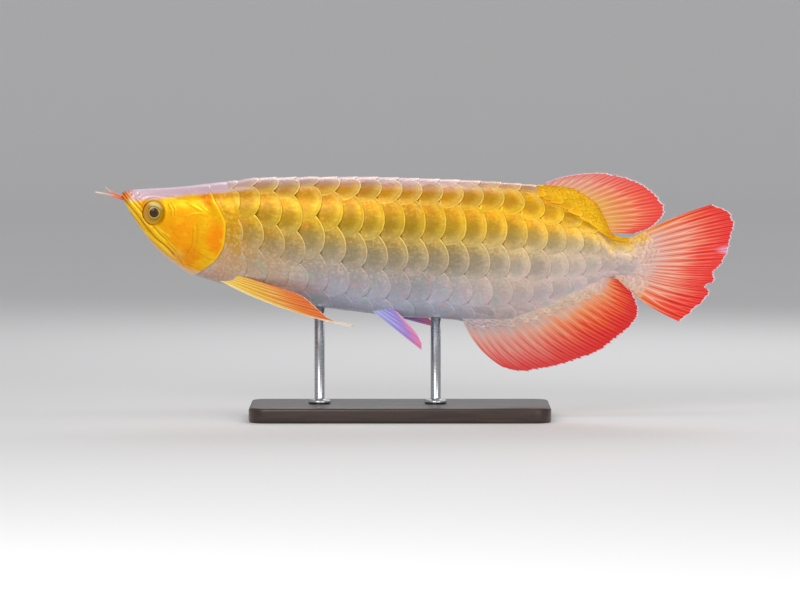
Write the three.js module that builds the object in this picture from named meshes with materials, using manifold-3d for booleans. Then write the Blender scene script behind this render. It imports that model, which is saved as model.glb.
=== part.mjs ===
// Asian arowana, life size, as a still display model held over a plain stand.
// Millimetres, +Z up, head towards -X and left flank towards -Y.
// The origin is the centre of the underside of the base.

import * as THREE from 'three';
import { mergeVertices } from 'three/addons/utils/BufferGeometryUtils.js';
import Module from 'manifold-3d';

const wasm = await Module();
wasm.setup();

// Places on the fish are given as [distance behind the snout, height over the body's axis].
const SNOUT_X = -222.4;
const AXIS_Z = 139;
const GAP = 0.3;

// Outline of the body from the side and from above.
const BACK = [
  [0, 41.6], [4, 44], [22, 45.6], [42, 47.2], [66, 49.6], [90, 52], [114, 54.2], [186, 54.6], [246, 53],
  [294, 50.8], [324, 48.6], [346, 47.6], [359, 46], [370, 40.4], [380, 33], [387, 20], [392, 9], [402, 6.2],
  [420, 6.4],
];
const BELLY = [
  [0, 39.2], [5.6, 28], [13.6, 15.6], [22.4, 3.4], [30.4, -5.4], [44.8, -16.8], [54.4, -22.4], [78.4, -30.6],
  [102.4, -38], [126.4, -45], [162.4, -50.6], [186.4, -53.4], [222.4, -57.6], [258.4, -59.4], [286.4, -63.2],
  [302.4, -63.6], [318.4, -60.8], [350.4, -49.2], [378.4, -36], [387.2, -29.6], [395, -26.4], [405, -27.6],
  [420, -29],
];
const HALF_WIDTH = [
  [0, 2.8], [1.5, 4.6], [4, 6.4], [8, 8.4], [20, 12.6], [35, 17], [50, 20.4], [70, 23.8], [90, 25.8],
  [120, 27.4], [180, 28], [240, 26], [300, 21], [340, 16], [370, 11.2], [392, 7.4], [406, 4.6], [420, 1.7],
];

// Roundness of a section: 2 is an ellipse, more is squarer and less is sharper. LEVEL is how high it is widest.
const TOP_ROUND = [[0, 2.4], [60, 3], [180, 2.7], [300, 2.4], [360, 1.9], [385, 1.7], [405, 2], [420, 2]];
const KEEL_ROUND = [[0, 1.9], [60, 1.9], [180, 1.8], [300, 1.6], [370, 1.6], [405, 1.9], [420, 2]];
const LEVEL = [[0, 0.55], [30, 0.62], [200, 0.6], [340, 0.55], [400, 0.5], [420, 0.5]];

// The gill opening: how far behind the snout it lies, by the share of the half girth from back to keel.
const GILL_EDGE = [
  [0, 70], [0.15, 71], [0.27, 75], [0.36, 80], [0.46, 84], [0.58, 83], [0.7, 78], [0.82, 68], [1, 54],
];
const GILL_EDGE_RISE = 0.9;
const HEAD_STEPS = [0, 0.02, 0.055, 0.11, 0.18, 0.26, 0.35, 0.44, 0.53, 0.62, 0.71, 0.8, 0.9, 1];

// Large scales: five whole rows a side, a shared row along the back, and columns that shorten towards the tail.
const ROW_EDGES_FRONT = [0.08, 0.232, 0.453, 0.657, 0.84, 1];
const ROW_EDGES_REAR = [0.18, 0.37, 0.58, 0.78, 0.92, 1];
const ROWS_CHANGE = [300, 380];
const SEGMENTS_PER_ROW = 4;
const COLUMNS = 20;
const FIRST_COLUMN = 84.7;
const COLUMN_LENGTH = 16.28;
const SHORTENING = 0.6;
const SHORTENS_AFTER = 15;
const SCALE_BULGE = 0.36;
const SCALE_SLANT = 0.15;
const SLANT_LOST = 0.6;
const SCALE_RISE = 0.8;
const SCALE_STEP = 0.018;
const SCALE_STEPS = [SCALE_STEP, 1 - SCALE_STEP];
const TAIL_ROOT = { edge: 411, middle: 419 };

// Columns at which the trunk is parted.
const TRUNK_PARTS = {
  trunk_front: [0, 6], trunk_mid: [6, 11], trunk_rear: [11, 16], tail_peduncle: [16, COLUMNS],
};

// Head pieces, as outlines seen from the side.
const MOUTH_LINE = [[-6, 42], [0, 39.9], [12, 25], [24, 9.6], [36.8, -1.6], [42, -9]];
const JAW_UNDERSIDE = [[40, -30], [-12, -30]];
const GILL_COVER = [
  [60, 37], [57.5, 28], [58.5, 16], [58.5, 0], [54.5, -9], [58, -15], [68, -21], [95, -25], [95, 37],
];
const GILL_COVER_DEPTH = 11;
const EYE_AT = [26.2, 26.2];
const EYE_RADII = [8.5, 5, 9.6];
const EYE_OUT = 11.2;
const ORBIT = { radii: [9.5, 10.6], thickness: 1, sunk: 0.35 };
const NOSTRILS = [[8, 41, 1], [13.5, 41, 1.2]];

// Raised forms of the head: a path seen from the side, its radius at each end, and how deep it is sunk.
const MAXILLA = {
  path: [[4.5, 37.6], [12.5, 28.2], [22, 16.2], [30, 7.4], [36, 2.6]], radii: [1.1, 2.3], sunk: 1,
};
const LOWER_LIP = { path: [[2.4, 34.8], [11, 23.3], [22.5, 8.5], [33, -1.4]], radii: [0.9, 0.7], sunk: 0.3 };
const OPERCLE_RIDGE = { path: [[52, 37.4], [60, 31], [69, 23.6]], radii: [0.8, 0.6], sunk: 0.2 };
const SNOUT_RIDGE = { path: [[14, 36], [19, 39], [27, 40.2], [35, 38.6]], radii: [0.6, 0.7], sunk: 0.1 };

const COLOURS = {
  head: 0xe8a510, jaw: 0xe6a83a, gill: 0xf0a010, eye: 0x3a2c12, barbel: 0xf08a6a,
  front: 0xd9a52c, mid: 0xd2b063, rear: 0xcdb58e, tail: 0xd6b6a4,
  dorsal: 0xf07c5c, anal: 0xe8502e, caudal: 0xf03c2c, pectoral: 0xe8a83a, pelvic: 0xc4b4dc,
  wood: 0x2a1c14, steel: 0xb8bcc0,
};

const lerp = (a, b, t) => a + (b - a) * t;
const clamp = (value, low, high) => Math.min(high, Math.max(low, value));

function smooth(at, from, to) {
  const t = clamp((at - from) / (to - from), 0, 1);
  return t * t * (3 - 2 * t);
}

// A smooth curve through [position, value] pairs, which never overshoots them.
function profile(pairs) {
  const last = pairs.length - 1;
  const rise = pairs.slice(1).map((p, i) => (p[1] - pairs[i][1]) / (p[0] - pairs[i][0]));
  const slope = pairs.map((p, i) => {
    if (i === 0) return rise[0];
    if (i === last) return rise[last - 1];
    const [before, after] = [rise[i - 1], rise[i]];
    return before * after <= 0 ? 0 : (2 * before * after) / (before + after);
  });
  return (at) => {
    const x = clamp(at, pairs[0][0], pairs[last][0]);
    let i = 0;
    while (i < last - 1 && x > pairs[i + 1][0]) i += 1;
    const span = pairs[i + 1][0] - pairs[i][0];
    const t = (x - pairs[i][0]) / span;
    const left = pairs[i][1] * (1 + 2 * t) * (1 - t) ** 2 + slope[i] * span * t * (1 - t) ** 2;
    return left + pairs[i + 1][1] * t * t * (3 - 2 * t) + slope[i + 1] * span * t * t * (t - 1);
  };
}

const back = profile(BACK);
const belly = profile(BELLY);
const halfWidth = profile(HALF_WIDTH);
const topRound = profile(TOP_ROUND);
const keelRound = profile(KEEL_ROUND);
const level = profile(LEVEL);
const gillEdge = profile(GILL_EDGE);

const place = (along, height) => [SNOUT_X + along, AXIS_Z + height];

// The left half of the body's section at one station, from the back to the keel.
const SECTION_STEPS = 96;
function halfSection(along) {
  const [top, bottom] = [back(along), belly(along)];
  const widest = lerp(bottom, top, level(along));
  const points = [];
  let length = 0;
  for (let i = 0; i <= SECTION_STEPS; i += 1) {
    const angle = (Math.PI * i) / SECTION_STEPS;
    const upper = angle <= Math.PI / 2;
    const power = 2 / (upper ? topRound(along) : keelRound(along));
    const out = halfWidth(along) * Math.abs(Math.sin(angle)) ** power;
    const share = Math.abs(Math.cos(angle)) ** power;
    const height = upper ? lerp(widest, top, share) : lerp(widest, bottom, share);
    if (i > 0) length += Math.hypot(out - points[i - 1].out, height - points[i - 1].height);
    points.push({ out, height, length });
  }
  return points;
}

// A point of the skin, by its share of the half girth, lifted along the skin's normal.
function skinPoint(along, girth, side, lift) {
  const section = halfSection(along);
  const wanted = girth * section[SECTION_STEPS].length;
  let i = 1;
  while (i < SECTION_STEPS && section[i].length < wanted) i += 1;
  const [a, b] = [section[i - 1], section[i]];
  const step = Math.hypot(b.out - a.out, b.height - a.height) || 1;
  const t = clamp((wanted - a.length) / (b.length - a.length || 1), 0, 1);
  let normal = [(a.height - b.height) / step, (b.out - a.out) / step];
  let out = lerp(a.out, b.out, t);
  if (girth <= 0 || girth >= 1) {
    normal = [0, girth <= 0 ? 1 : -1];
    out = 0;
  }
  const [x, z] = place(along, lerp(a.height, b.height, t) + lift * normal[1]);
  return new THREE.Vector3(x, -side * (out + lift * normal[0]), z);
}

// The nodes of the grid round one flank: row 0 is the upper half of the row shared over the back.
const FLANK = [];
for (let i = 0; i <= SEGMENTS_PER_ROW / 2; i += 1) FLANK.push({ row: 0, across: 0.5 + i / SEGMENTS_PER_ROW });
for (let row = 1; row < ROW_EDGES_FRONT.length; row += 1) {
  for (let i = 1; i <= SEGMENTS_PER_ROW; i += 1) FLANK.push({ row, across: i / SEGMENTS_PER_ROW });
}

function girthOf(node, along) {
  const change = smooth(along, ...ROWS_CHANGE);
  const edge = (row) => lerp(ROW_EDGES_FRONT[row], ROW_EDGES_REAR[row], change);
  if (node.row === 0) return edge(0) * (2 * node.across - 1);
  return lerp(edge(node.row - 1), edge(node.row), node.across);
}

function columnStart(column) {
  const late = Math.max(0, column - SHORTENS_AFTER);
  return FIRST_COLUMN + COLUMN_LENGTH * column - (SHORTENING * late * late) / 2;
}

const columnLength = (column) => COLUMN_LENGTH - SHORTENING * Math.max(0, column - SHORTENS_AFTER);

// The rings of the body's grid, each a rule for where its nodes lie along the body and how far they are lifted.
const crown = (across) => 1 - 0.45 * (2 * across - 1) ** 2;
const arc = (across) => SCALE_BULGE * (1 - (2 * across - 1) ** 2);

function gillRing(share) {
  const rise = (node) => GILL_EDGE_RISE * smooth(share, 0.88, 1) * smooth(girthOf(node, 0), 0.1, 0.3);
  return { along: (node) => share * gillEdge(girthOf(node, 0)), lift: rise };
}

function scaleRing(column, step) {
  const slant = SCALE_SLANT * (1 - SLANT_LOST * smooth(column + step, SHORTENS_AFTER, COLUMNS));
  const along = (node) => columnStart(column + step + arc(node.across) + slant * (node.row + node.across));
  const rise = (SCALE_RISE * columnLength(column)) / COLUMN_LENGTH;
  return { along, lift: (node) => rise * step * crown(node.across) };
}

function blendRing(first, second, share) {
  return { along: (node) => lerp(first.along(node), second.along(node), share), lift: () => 0 };
}

const headRings = HEAD_STEPS.map(gillRing);
const nape = { along: (node) => gillEdge(girthOf(node, 0)) + 1.4 * GAP, lift: () => 0 };
const napeEdge = scaleRing(-1, 1 - SCALE_STEP);
const napeRings = [nape, blendRing(nape, napeEdge, 0.5), napeEdge];
const columnRings = (column) => SCALE_STEPS.map((step) => scaleRing(column, step));
const endRing = {
  along: (node) => lerp(TAIL_ROOT.edge, TAIL_ROOT.middle, Math.sin(Math.PI * girthOf(node, TAIL_ROOT.edge))),
  lift: () => 0,
};

// Turns a grid of points into a closed shell, with its faces pointing out.
function shell(points, triangles) {
  const geometry = new THREE.BufferGeometry();
  const a = new THREE.Vector3();
  const corner = (sum, [i, j, k]) => sum + a.crossVectors(points[i], points[j]).dot(points[k]);
  const volume = triangles.reduce(corner, 0);
  const order = volume > 0 ? triangles : triangles.map(([i, j, k]) => [i, k, j]);
  geometry.setAttribute('position', new THREE.Float32BufferAttribute(points.flatMap((p) => p.toArray()), 3));
  geometry.setIndex(order.flat());
  return geometry;
}

// A closed length of the body through the given rings, grown on all sides by its swell.
function loft(rings, swell = 0) {
  const points = [];
  const triangles = [];
  const around = 2 * (FLANK.length - 1);
  for (const ring of rings) {
    const atEnd = (ring === rings.at(-1) ? 1 : 0) - (ring === rings[0] ? 1 : 0);
    for (let i = 0; i < around; i += 1) {
      const left = i < FLANK.length;
      const node = FLANK[left ? i : around - i];
      const along = ring.along(node);
      const point = skinPoint(along, girthOf(node, along), left ? 1 : -1, ring.lift(node) + swell);
      points.push(point.setX(point.x + 2 * swell * atEnd));
    }
  }
  for (let r = 0; r < rings.length - 1; r += 1) {
    for (let i = 0; i < around; i += 1) {
      const next = (i + 1) % around;
      const [a, b, c, d] = [r * around + i, r * around + next, (r + 1) * around + next, (r + 1) * around + i];
      const mirrored = i >= around / 2;
      if (mirrored) triangles.push([a, b, d], [b, c, d]);
      else triangles.push([a, b, c], [a, c, d]);
    }
  }
  for (const r of [0, rings.length - 1]) {
    const ring = points.slice(r * around, (r + 1) * around);
    const centre = ring.reduce((sum, p) => sum.add(p), new THREE.Vector3()).divideScalar(around);
    points.push(centre.setY(0));
    for (let i = 0; i < around; i += 1) {
      const [a, b] = [r * around + i, r * around + ((i + 1) % around)];
      triangles.push(r === 0 ? [points.length - 1, b, a] : [points.length - 1, a, b]);
    }
  }
  return shell(points, triangles);
}

function toSolid(geometry) {
  const bare = geometry.clone();
  bare.deleteAttribute('normal');
  bare.deleteAttribute('uv');
  const merged = mergeVertices(bare, 1e-4);
  return new wasm.Manifold(new wasm.Mesh({
    numProp: 3,
    vertProperties: new Float32Array(merged.attributes.position.array),
    triVerts: new Uint32Array(merged.index.array),
  }));
}

// The largest closed body of a solid, as a geometry.
function toGeometry(solid) {
  const pieces = solid.decompose().sort((a, b) => b.volume() - a.volume());
  const mesh = pieces[0].getMesh();
  const geometry = new THREE.BufferGeometry();
  geometry.setAttribute('position', new THREE.Float32BufferAttribute(mesh.vertProperties, 3));
  geometry.setIndex(Array.from(mesh.triVerts));
  return geometry;
}

// An outline seen from the side, grown outwards and given a thickness from one depth to another.
function sidePrism(outline, grow, fromY, toY) {
  const corners = outline.map(([along, height]) => new THREE.Vector2(...place(along, height)));
  const turn = Math.sign(THREE.ShapeUtils.area(corners));
  const grown = corners.map((corner, i) => {
    const before = corners[(i + corners.length - 1) % corners.length];
    const after = corners[(i + 1) % corners.length];
    const first = corner.clone().sub(before).normalize();
    const second = after.clone().sub(corner).normalize();
    const [n1, n2] = [first, second].map((d) => new THREE.Vector2(d.y, -d.x).multiplyScalar(turn));
    const miter = n1.clone().add(n2).normalize();
    return corner.clone().addScaledVector(miter, grow / Math.max(0.4, miter.dot(n1)));
  });
  const options = { depth: toY - fromY, bevelEnabled: false };
  const geometry = new THREE.ExtrudeGeometry(new THREE.Shape(grown), options);
  geometry.rotateX(Math.PI / 2);
  geometry.translate(0, toY, 0);
  return toSolid(geometry);
}

function ellipsoid(centre, radii, grow = 0, columns = 18, rows = 10) {
  const geometry = new THREE.SphereGeometry(1, columns, rows);
  geometry.scale(radii[0] + grow, radii[1] + grow, radii[2] + grow);
  geometry.translate(...centre);
  return geometry;
}

// A point of the head's side, found by its place in the side view.
function sidePoint(along, height, side, lift) {
  const section = halfSection(along);
  let i = 1;
  while (i < SECTION_STEPS && section[i].height > height) i += 1;
  const [a, b] = [section[i - 1], section[i]];
  const out = lerp(a.out, b.out, clamp((a.height - height) / (a.height - b.height || 1), 0, 1));
  const [x, z] = place(along, height);
  return new THREE.Vector3(x, -side * (out + lift), z);
}

// A raised ridge on the head's side.
function ridge({ path, radii, sunk }, side) {
  const points = path.map(([along, height]) => sidePoint(along, height, side, -sunk));
  return toSolid(taperedTube(new THREE.CatmullRomCurve3(points), radii, 3 * (path.length - 1), 6));
}

// The raised rim round an eye.
const ORBIT_STEPS = 18;
function orbitRim(side) {
  const points = [];
  for (let i = 0; i < ORBIT_STEPS; i += 1) {
    const angle = (2 * Math.PI * i) / ORBIT_STEPS;
    const along = EYE_AT[0] + ORBIT.radii[0] * Math.cos(angle);
    points.push(sidePoint(along, EYE_AT[1] + ORBIT.radii[1] * Math.sin(angle), side, -ORBIT.sunk));
  }
  const sides = 6;
  const centre = points.reduce((sum, p) => sum.add(p), new THREE.Vector3()).divideScalar(ORBIT_STEPS);
  const rim = [];
  const triangles = [];
  points.forEach((point, s) => {
    const outward = point.clone().sub(centre).setY(0).normalize();
    for (let i = 0; i < sides; i += 1) {
      const angle = (2 * Math.PI * i) / sides;
      const ring = point.clone().addScaledVector(outward, ORBIT.thickness * Math.cos(angle));
      rim.push(ring.setY(ring.y - side * ORBIT.thickness * Math.sin(angle)));
      const next = (s + 1) % ORBIT_STEPS;
      const [a, b] = [s * sides + i, s * sides + ((i + 1) % sides)];
      const [c, d] = [next * sides + ((i + 1) % sides), next * sides + i];
      triangles.push([a, b, c], [a, c, d]);
    }
  });
  return toSolid(shell(rim, triangles));
}

// A tapering tube of round section along a curve, closed at both ends.
function taperedTube(curve, radii, steps, sides) {
  const frames = curve.computeFrenetFrames(steps, false);
  const points = [];
  const triangles = [];
  for (let s = 0; s <= steps; s += 1) {
    const centre = curve.getPointAt(s / steps);
    const radius = lerp(radii[0], radii[1], s / steps);
    for (let i = 0; i < sides; i += 1) {
      const angle = (2 * Math.PI * i) / sides;
      const point = centre.clone().addScaledVector(frames.normals[s], radius * Math.cos(angle));
      points.push(point.addScaledVector(frames.binormals[s], radius * Math.sin(angle)));
    }
  }
  for (let s = 0; s < steps; s += 1) {
    for (let i = 0; i < sides; i += 1) {
      const [a, b] = [s * sides + i, s * sides + ((i + 1) % sides)];
      triangles.push([a, b, b + sides], [a, b + sides, a + sides]);
    }
  }
  points.push(curve.getPointAt(0), curve.getPointAt(1));
  for (let i = 0; i < sides; i += 1) {
    const next = (i + 1) % sides;
    triangles.push([points.length - 2, next, i]);
    triangles.push([points.length - 1, steps * sides + i, steps * sides + next]);
  }
  return shell(points, triangles);
}

// Fins: a membrane with its rays as ridges in both faces.
const MEMBRANE = [0.42, 0.26];
const RAY_RISE = 0.42;
const ROOT_THICKNESS = 0.9;
const ROOT_SHARE = 0.3;
const TIP_BITE = 1.1;

function finThickness(reach, onRay) {
  const root = ROOT_THICKNESS * (1 - smooth(reach, 0, ROOT_SHARE));
  return lerp(MEMBRANE[0], MEMBRANE[1], reach) + root + (onRay ? RAY_RISE * (1 - 0.8 * reach) : 0);
}

// A fin is told by guides, each a ray's [root, tip] in the fin's own plane. bow bends the rays in that plane.
// lay puts a point of the plane in the model, with an offset across the membrane.
function fin({ guides, rays, steps, bow = 0, lay }) {
  const line = (end) => new THREE.SplineCurve(guides.map((guide) => new THREE.Vector2(...guide[end])));
  const [roots, tips] = [line(0), line(1)];
  const columns = 2 * rays - 1;
  const faces = [[], []];
  for (let c = 0; c < columns; c += 1) {
    const across = c / (columns - 1);
    const [root, tip] = [roots.getPoint(across), tips.getPoint(across)];
    const ray = tip.clone().sub(root);
    const onRay = c % 2 === 0;
    const reachEnd = onRay ? 1 : 1 - TIP_BITE / ray.length();
    const sideways = new THREE.Vector2(-ray.y, ray.x).multiplyScalar(bow * (2 * across - 1));
    for (let s = 0; s <= steps; s += 1) {
      const reach = (reachEnd * s) / steps;
      const at = root.clone().addScaledVector(ray, reach).addScaledVector(sideways, 4 * reach * (1 - reach));
      const thickness = finThickness(reach, onRay);
      faces[0].push(lay(at, thickness, across, reach));
      faces[1].push(lay(at, -thickness, across, reach));
    }
  }
  return finShell(faces, columns, steps + 1);
}

function finShell(faces, columns, rows) {
  const points = faces.flat();
  const other = faces[0].length;
  const triangles = [];
  const index = (c, s) => c * rows + s;
  for (let c = 0; c < columns - 1; c += 1) {
    for (let s = 0; s < rows - 1; s += 1) {
      const [a, b, d, e] = [index(c, s), index(c + 1, s), index(c + 1, s + 1), index(c, s + 1)];
      const split = c % 2 === 0 ? [[a, b, d], [a, d, e]] : [[a, b, e], [b, d, e]];
      for (const [i, j, k] of split) triangles.push([i, j, k], [other + i, other + k, other + j]);
    }
  }
  const rim = [];
  for (let c = 0; c < columns - 1; c += 1) rim.push(index(c, 0));
  for (let s = 0; s < rows - 1; s += 1) rim.push(index(columns - 1, s));
  for (let c = columns - 1; c > 0; c -= 1) rim.push(index(c, rows - 1));
  for (let s = rows - 1; s > 0; s -= 1) rim.push(index(0, s));
  rim.forEach((a, i) => {
    const b = rim[(i + 1) % rim.length];
    triangles.push([b, a, other + a], [b, other + a, other + b]);
  });
  return shell(points, triangles);
}

// A fin in the middle plane, with a slight sideways wave towards its tips.
function medianLay(wave) {
  return (at, thickness, across, reach) => {
    const [x, z] = place(at.x, at.y);
    return new THREE.Vector3(x, thickness + wave * reach * reach * Math.sin(2 * Math.PI * across), z);
  };
}

// A paired fin: its plane starts at a root and is turned by two directions, and it droops along its length.
function pairedLay({ root, along, chord, droop }, side) {
  const forward = new THREE.Vector3(...along).normalize();
  const across = new THREE.Vector3(...chord);
  across.addScaledVector(forward, -across.dot(forward)).normalize();
  const normal = new THREE.Vector3().crossVectors(forward, across);
  const [x, z] = place(root[0], root[2]);
  return (at, thickness, share, reach) => {
    const point = new THREE.Vector3(x, root[1], z);
    point.addScaledVector(forward, at.x).addScaledVector(across, at.y);
    point.addScaledVector(normal, thickness - droop * reach * reach);
    return point.setY(-side * point.y);
  };
}

// Guide rays of the fins in the middle plane, from inside the body to the rim.
const DORSAL_FIN = [
  [[341.6, 44.8], [347.2, 51.6]], [[349.6, 44.8], [366.4, 56.4]], [[358.4, 42.4], [385.6, 57.6]],
  [[368, 37.6], [404.8, 54]], [[376.8, 31.2], [422.4, 44.4]], [[382.4, 23.2], [434.8, 29.2]],
  [[384.8, 15.2], [423.4, 18]], [[384.8, 11], [406, 11]],
];
const CAUDAL_FIN = [
  [[395.2, 2.4], [472, 32.6]], [[400, 0], [486, 26.4]], [[404, -3.2], [490.4, 16.8]],
  [[406.4, -7.2], [488, 6.4]], [[407.2, -11.2], [485.6, -4]], [[405.6, -15.2], [480.4, -15.2]],
  [[403.2, -17.6], [474.2, -21.6]], [[401.6, -19.2], [474.8, -28.4]], [[400, -20], [467.6, -32.4]],
  [[398.4, -20.8], [470.4, -38]], [[395.2, -22.4], [460.8, -49.6]], [[392, -22.4], [446.8, -61.6]],
];
const ANAL_FIN = [
  [[271.2, -55.6], [306.4, -98.8]], [[282.4, -57], [321.6, -101.6]], [[296, -58], [341.6, -98.4]],
  [[312, -56], [358.4, -94.4]], [[326.4, -52.6], [374.4, -88.8]], [[340.8, -47], [388.8, -80.8]],
  [[355.2, -40.6], [401.6, -70.4]], [[368, -35.2], [411.2, -59.2]], [[377, -30.5], [412.5, -50.2]],
  [[382, -28], [408, -42]], [[385, -26.5], [397, -34]],
];

// Guide rays of a paired fin in its own plane, from [0, 0] at the front of its root.
const PECTORAL_FIN = [
  [[-5, -1], [111, 0]], [[-5, 1], [101, -1.5]], [[-5, 3], [87, 0]], [[-5, 5], [73, 5]], [[-5, 7], [60, 10]],
  [[-5, 9], [44, 12]], [[-5, 11], [28, 12.5]],
];
const PELVIC_FIN = [
  [[-6, 0], [51, 0]], [[-6, 2.5], [46, 5.5]], [[-6, 5], [37, 9]], [[-6, 8], [26, 11]], [[-6, 11], [16, 12]],
];
const PECTORALS = {
  left: { root: [83, 10.5, -26.5], along: [104, 30, -30], chord: [0.1, 0.5, 1], droop: -2 },
  right: { root: [83, 10.5, -26.5], along: [104, 34, -20], chord: [0.1, 0.5, 1], droop: -2 },
};
const PELVICS = {
  left: { root: [201, 4.5, -53], along: [39, 12, -31], chord: [0.62, 0.3, 0.78], droop: -1.5 },
  right: { root: [203, 4.5, -53], along: [50, 16, -15], chord: [0.3, 0.5, 0.9], droop: -1.5 },
};

// Stand: a bevelled base and two short rods with a foot collar each.
const BASE = { length: 240, width: 110, height: 12, corner: 14, bevel: 1.5 };
const ROD_RADIUS = 4;
const COLLAR = { radius: 9, height: 3 };
const RODS = { stand_rod_front: 158, stand_rod_rear: 251 };
const ROD_REACH = 14;

function baseGeometry() {
  const { length, width, height, corner, bevel } = BASE;
  const [x, y, r] = [length / 2 - bevel, width / 2 - bevel, corner - bevel];
  const outline = new THREE.Shape();
  outline.absarc(x - r, y - r, r, 0, Math.PI / 2);
  outline.absarc(-x + r, y - r, r, Math.PI / 2, Math.PI);
  outline.absarc(-x + r, -y + r, r, Math.PI, 1.5 * Math.PI);
  outline.absarc(x - r, -y + r, r, 1.5 * Math.PI, 2 * Math.PI);
  const options = { depth: height - 2 * bevel, bevelThickness: bevel, bevelSize: bevel, bevelSegments: 1 };
  const geometry = new THREE.ExtrudeGeometry(outline, { ...options, curveSegments: 5 });
  return toGeometry(toSolid(geometry.translate(0, 0, bevel)));
}

function rodSolid(along) {
  const foot = BASE.height + GAP;
  const top = place(along, belly(along))[1] + ROD_REACH;
  const outline = [
    [0, foot], [COLLAR.radius, foot], [COLLAR.radius, foot + COLLAR.height - 1],
    [COLLAR.radius - 1, foot + COLLAR.height], [ROD_RADIUS, foot + COLLAR.height], [ROD_RADIUS, top], [0, top],
  ];
  const geometry = new THREE.LatheGeometry(outline.map((p) => new THREE.Vector2(...p)), 16);
  geometry.rotateX(Math.PI / 2);
  geometry.translate(SNOUT_X + along, 0, 0);
  return toSolid(geometry);
}

const group = new THREE.Group();

function addPart(name, geometry, color, roughness = 0.45, metalness = 0) {
  const mesh = new THREE.Mesh(geometry, new THREE.MeshStandardMaterial({ color, roughness, metalness }));
  mesh.name = name;
  geometry.computeVertexNormals();
  group.add(mesh);
}

// Body: the trunk's lengths are parted along the edges of whole columns of scales.
const SIDES = { left: 1, right: -1 };
const allColumns = Array.from({ length: COLUMNS }, (unused, column) => columnRings(column)).flat();
const bodyRings = [...headRings, ...napeRings, ...allColumns, endRing];
const bodyWithGap = toSolid(loft(bodyRings, GAP));
const partColours = [COLOURS.front, COLOURS.mid, COLOURS.rear, COLOURS.tail];
Object.entries(TRUNK_PARTS).forEach(([name, [from, to]], i) => {
  const rings = allColumns.slice(from * SCALE_STEPS.length, to * SCALE_STEPS.length);
  if (from === 0) rings.unshift(...napeRings);
  if (to === COLUMNS) rings.push(endRing);
  else rings.push({ ...rings.at(-1), lift: () => 0 });
  addPart(name, loft(rings), partColours[i], 0.35, 0.3);
});

// Head: the lower jaw, the gill covers and the eyes' sockets are cut from one solid.
const FAR = 80;
let wholeHead = toSolid(loft(headRings));
for (const side of Object.values(SIDES)) {
  const ridges = [MAXILLA, LOWER_LIP, OPERCLE_RIDGE, SNOUT_RIDGE].map((form) => ridge(form, side));
  for (const form of [...ridges, orbitRim(side)]) wholeHead = wholeHead.add(form);
}
const jawOutline = [...MOUTH_LINE, ...JAW_UNDERSIDE];
const jaw = wholeHead.intersect(sidePrism(jawOutline, 0, -FAR, FAR));
let head = wholeHead.subtract(sidePrism(jawOutline, GAP, -FAR, FAR));
for (const side of Object.values(SIDES)) {
  const reach = (inner) => (side > 0 ? [-FAR, -inner] : [inner, FAR]);
  head = head.subtract(sidePrism(GILL_COVER, GAP, ...reach(GILL_COVER_DEPTH - GAP)));
}
for (const [name, side] of Object.entries(SIDES)) {
  const reach = side > 0 ? [-FAR, -GILL_COVER_DEPTH] : [GILL_COVER_DEPTH, FAR];
  const cover = wholeHead.intersect(sidePrism(GILL_COVER, 0, ...reach));
  addPart(`gill_cover_${name}`, toGeometry(cover), COLOURS.gill, 0.35, 0.3);
  const [eyeX, eyeZ] = place(...EYE_AT);
  const eyeCentre = [eyeX, -side * EYE_OUT, eyeZ];
  head = head.subtract(toSolid(ellipsoid(eyeCentre, EYE_RADII, GAP)));
  addPart(`eye_${name}`, ellipsoid(eyeCentre, EYE_RADII), COLOURS.eye, 0.1);
  for (const [along, height, radius] of NOSTRILS) {
    const [x, z] = place(along, height);
    const { y } = sidePoint(along, height, side, 0);
    head = head.subtract(toSolid(ellipsoid([x, y, z], [radius, radius, radius], 0, 8, 5)));
  }
}
addPart('head', toGeometry(head), COLOURS.head, 0.35, 0.3);
addPart('lower_jaw', toGeometry(jaw), COLOURS.jaw, 0.4, 0.2);

// Barbels: a pair from the tip of the lower jaw.
const BARBEL_PATHS = {
  left: [[1.6, 1.6, 36.8], [-4, 3.2, 38.6], [-12, 6.5, 41], [-20.8, 10.5, 42.8]],
  right: [[1.6, 1.6, 36.8], [-3, 3.6, 39.4], [-8, 7, 42], [-14, 12, 46]],
};
const BARBEL_RADII = [1.25, 0.45];
for (const [name, side] of Object.entries(SIDES)) {
  const path = BARBEL_PATHS[name].map(([along, out, height]) => {
    const [x, z] = place(along, height);
    return new THREE.Vector3(x, -side * out, z);
  });
  const tube = toSolid(taperedTube(new THREE.CatmullRomCurve3(path), BARBEL_RADII, 9, 6));
  addPart(`barbel_${name}`, toGeometry(tube.subtract(bodyWithGap)), COLOURS.barbel);
}

// Fins, each cut where it meets the body.
function addFin(name, options, color) {
  addPart(name, toGeometry(toSolid(fin(options)).subtract(bodyWithGap)), color, 0.4);
}

addFin('dorsal_fin', { guides: DORSAL_FIN, rays: 20, steps: 5, lay: medianLay(2) }, COLOURS.dorsal);
addFin('anal_fin', { guides: ANAL_FIN, rays: 26, steps: 5, lay: medianLay(2) }, COLOURS.anal);
const tail = { guides: CAUDAL_FIN, rays: 19, steps: 6, bow: 0.02, lay: medianLay(3) };
addFin('caudal_fin', tail, COLOURS.caudal);
for (const [name, side] of Object.entries(SIDES)) {
  const pectoral = pairedLay(PECTORALS[name], side);
  const blade = { guides: PECTORAL_FIN, rays: 7, steps: 7, bow: 0.06, lay: pectoral };
  addFin(`pectoral_fin_${name}`, blade, COLOURS.pectoral);
  const pelvic = pairedLay(PELVICS[name], side);
  addFin(`pelvic_fin_${name}`, { guides: PELVIC_FIN, rays: 5, steps: 4, lay: pelvic }, COLOURS.pelvic);
}

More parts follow.
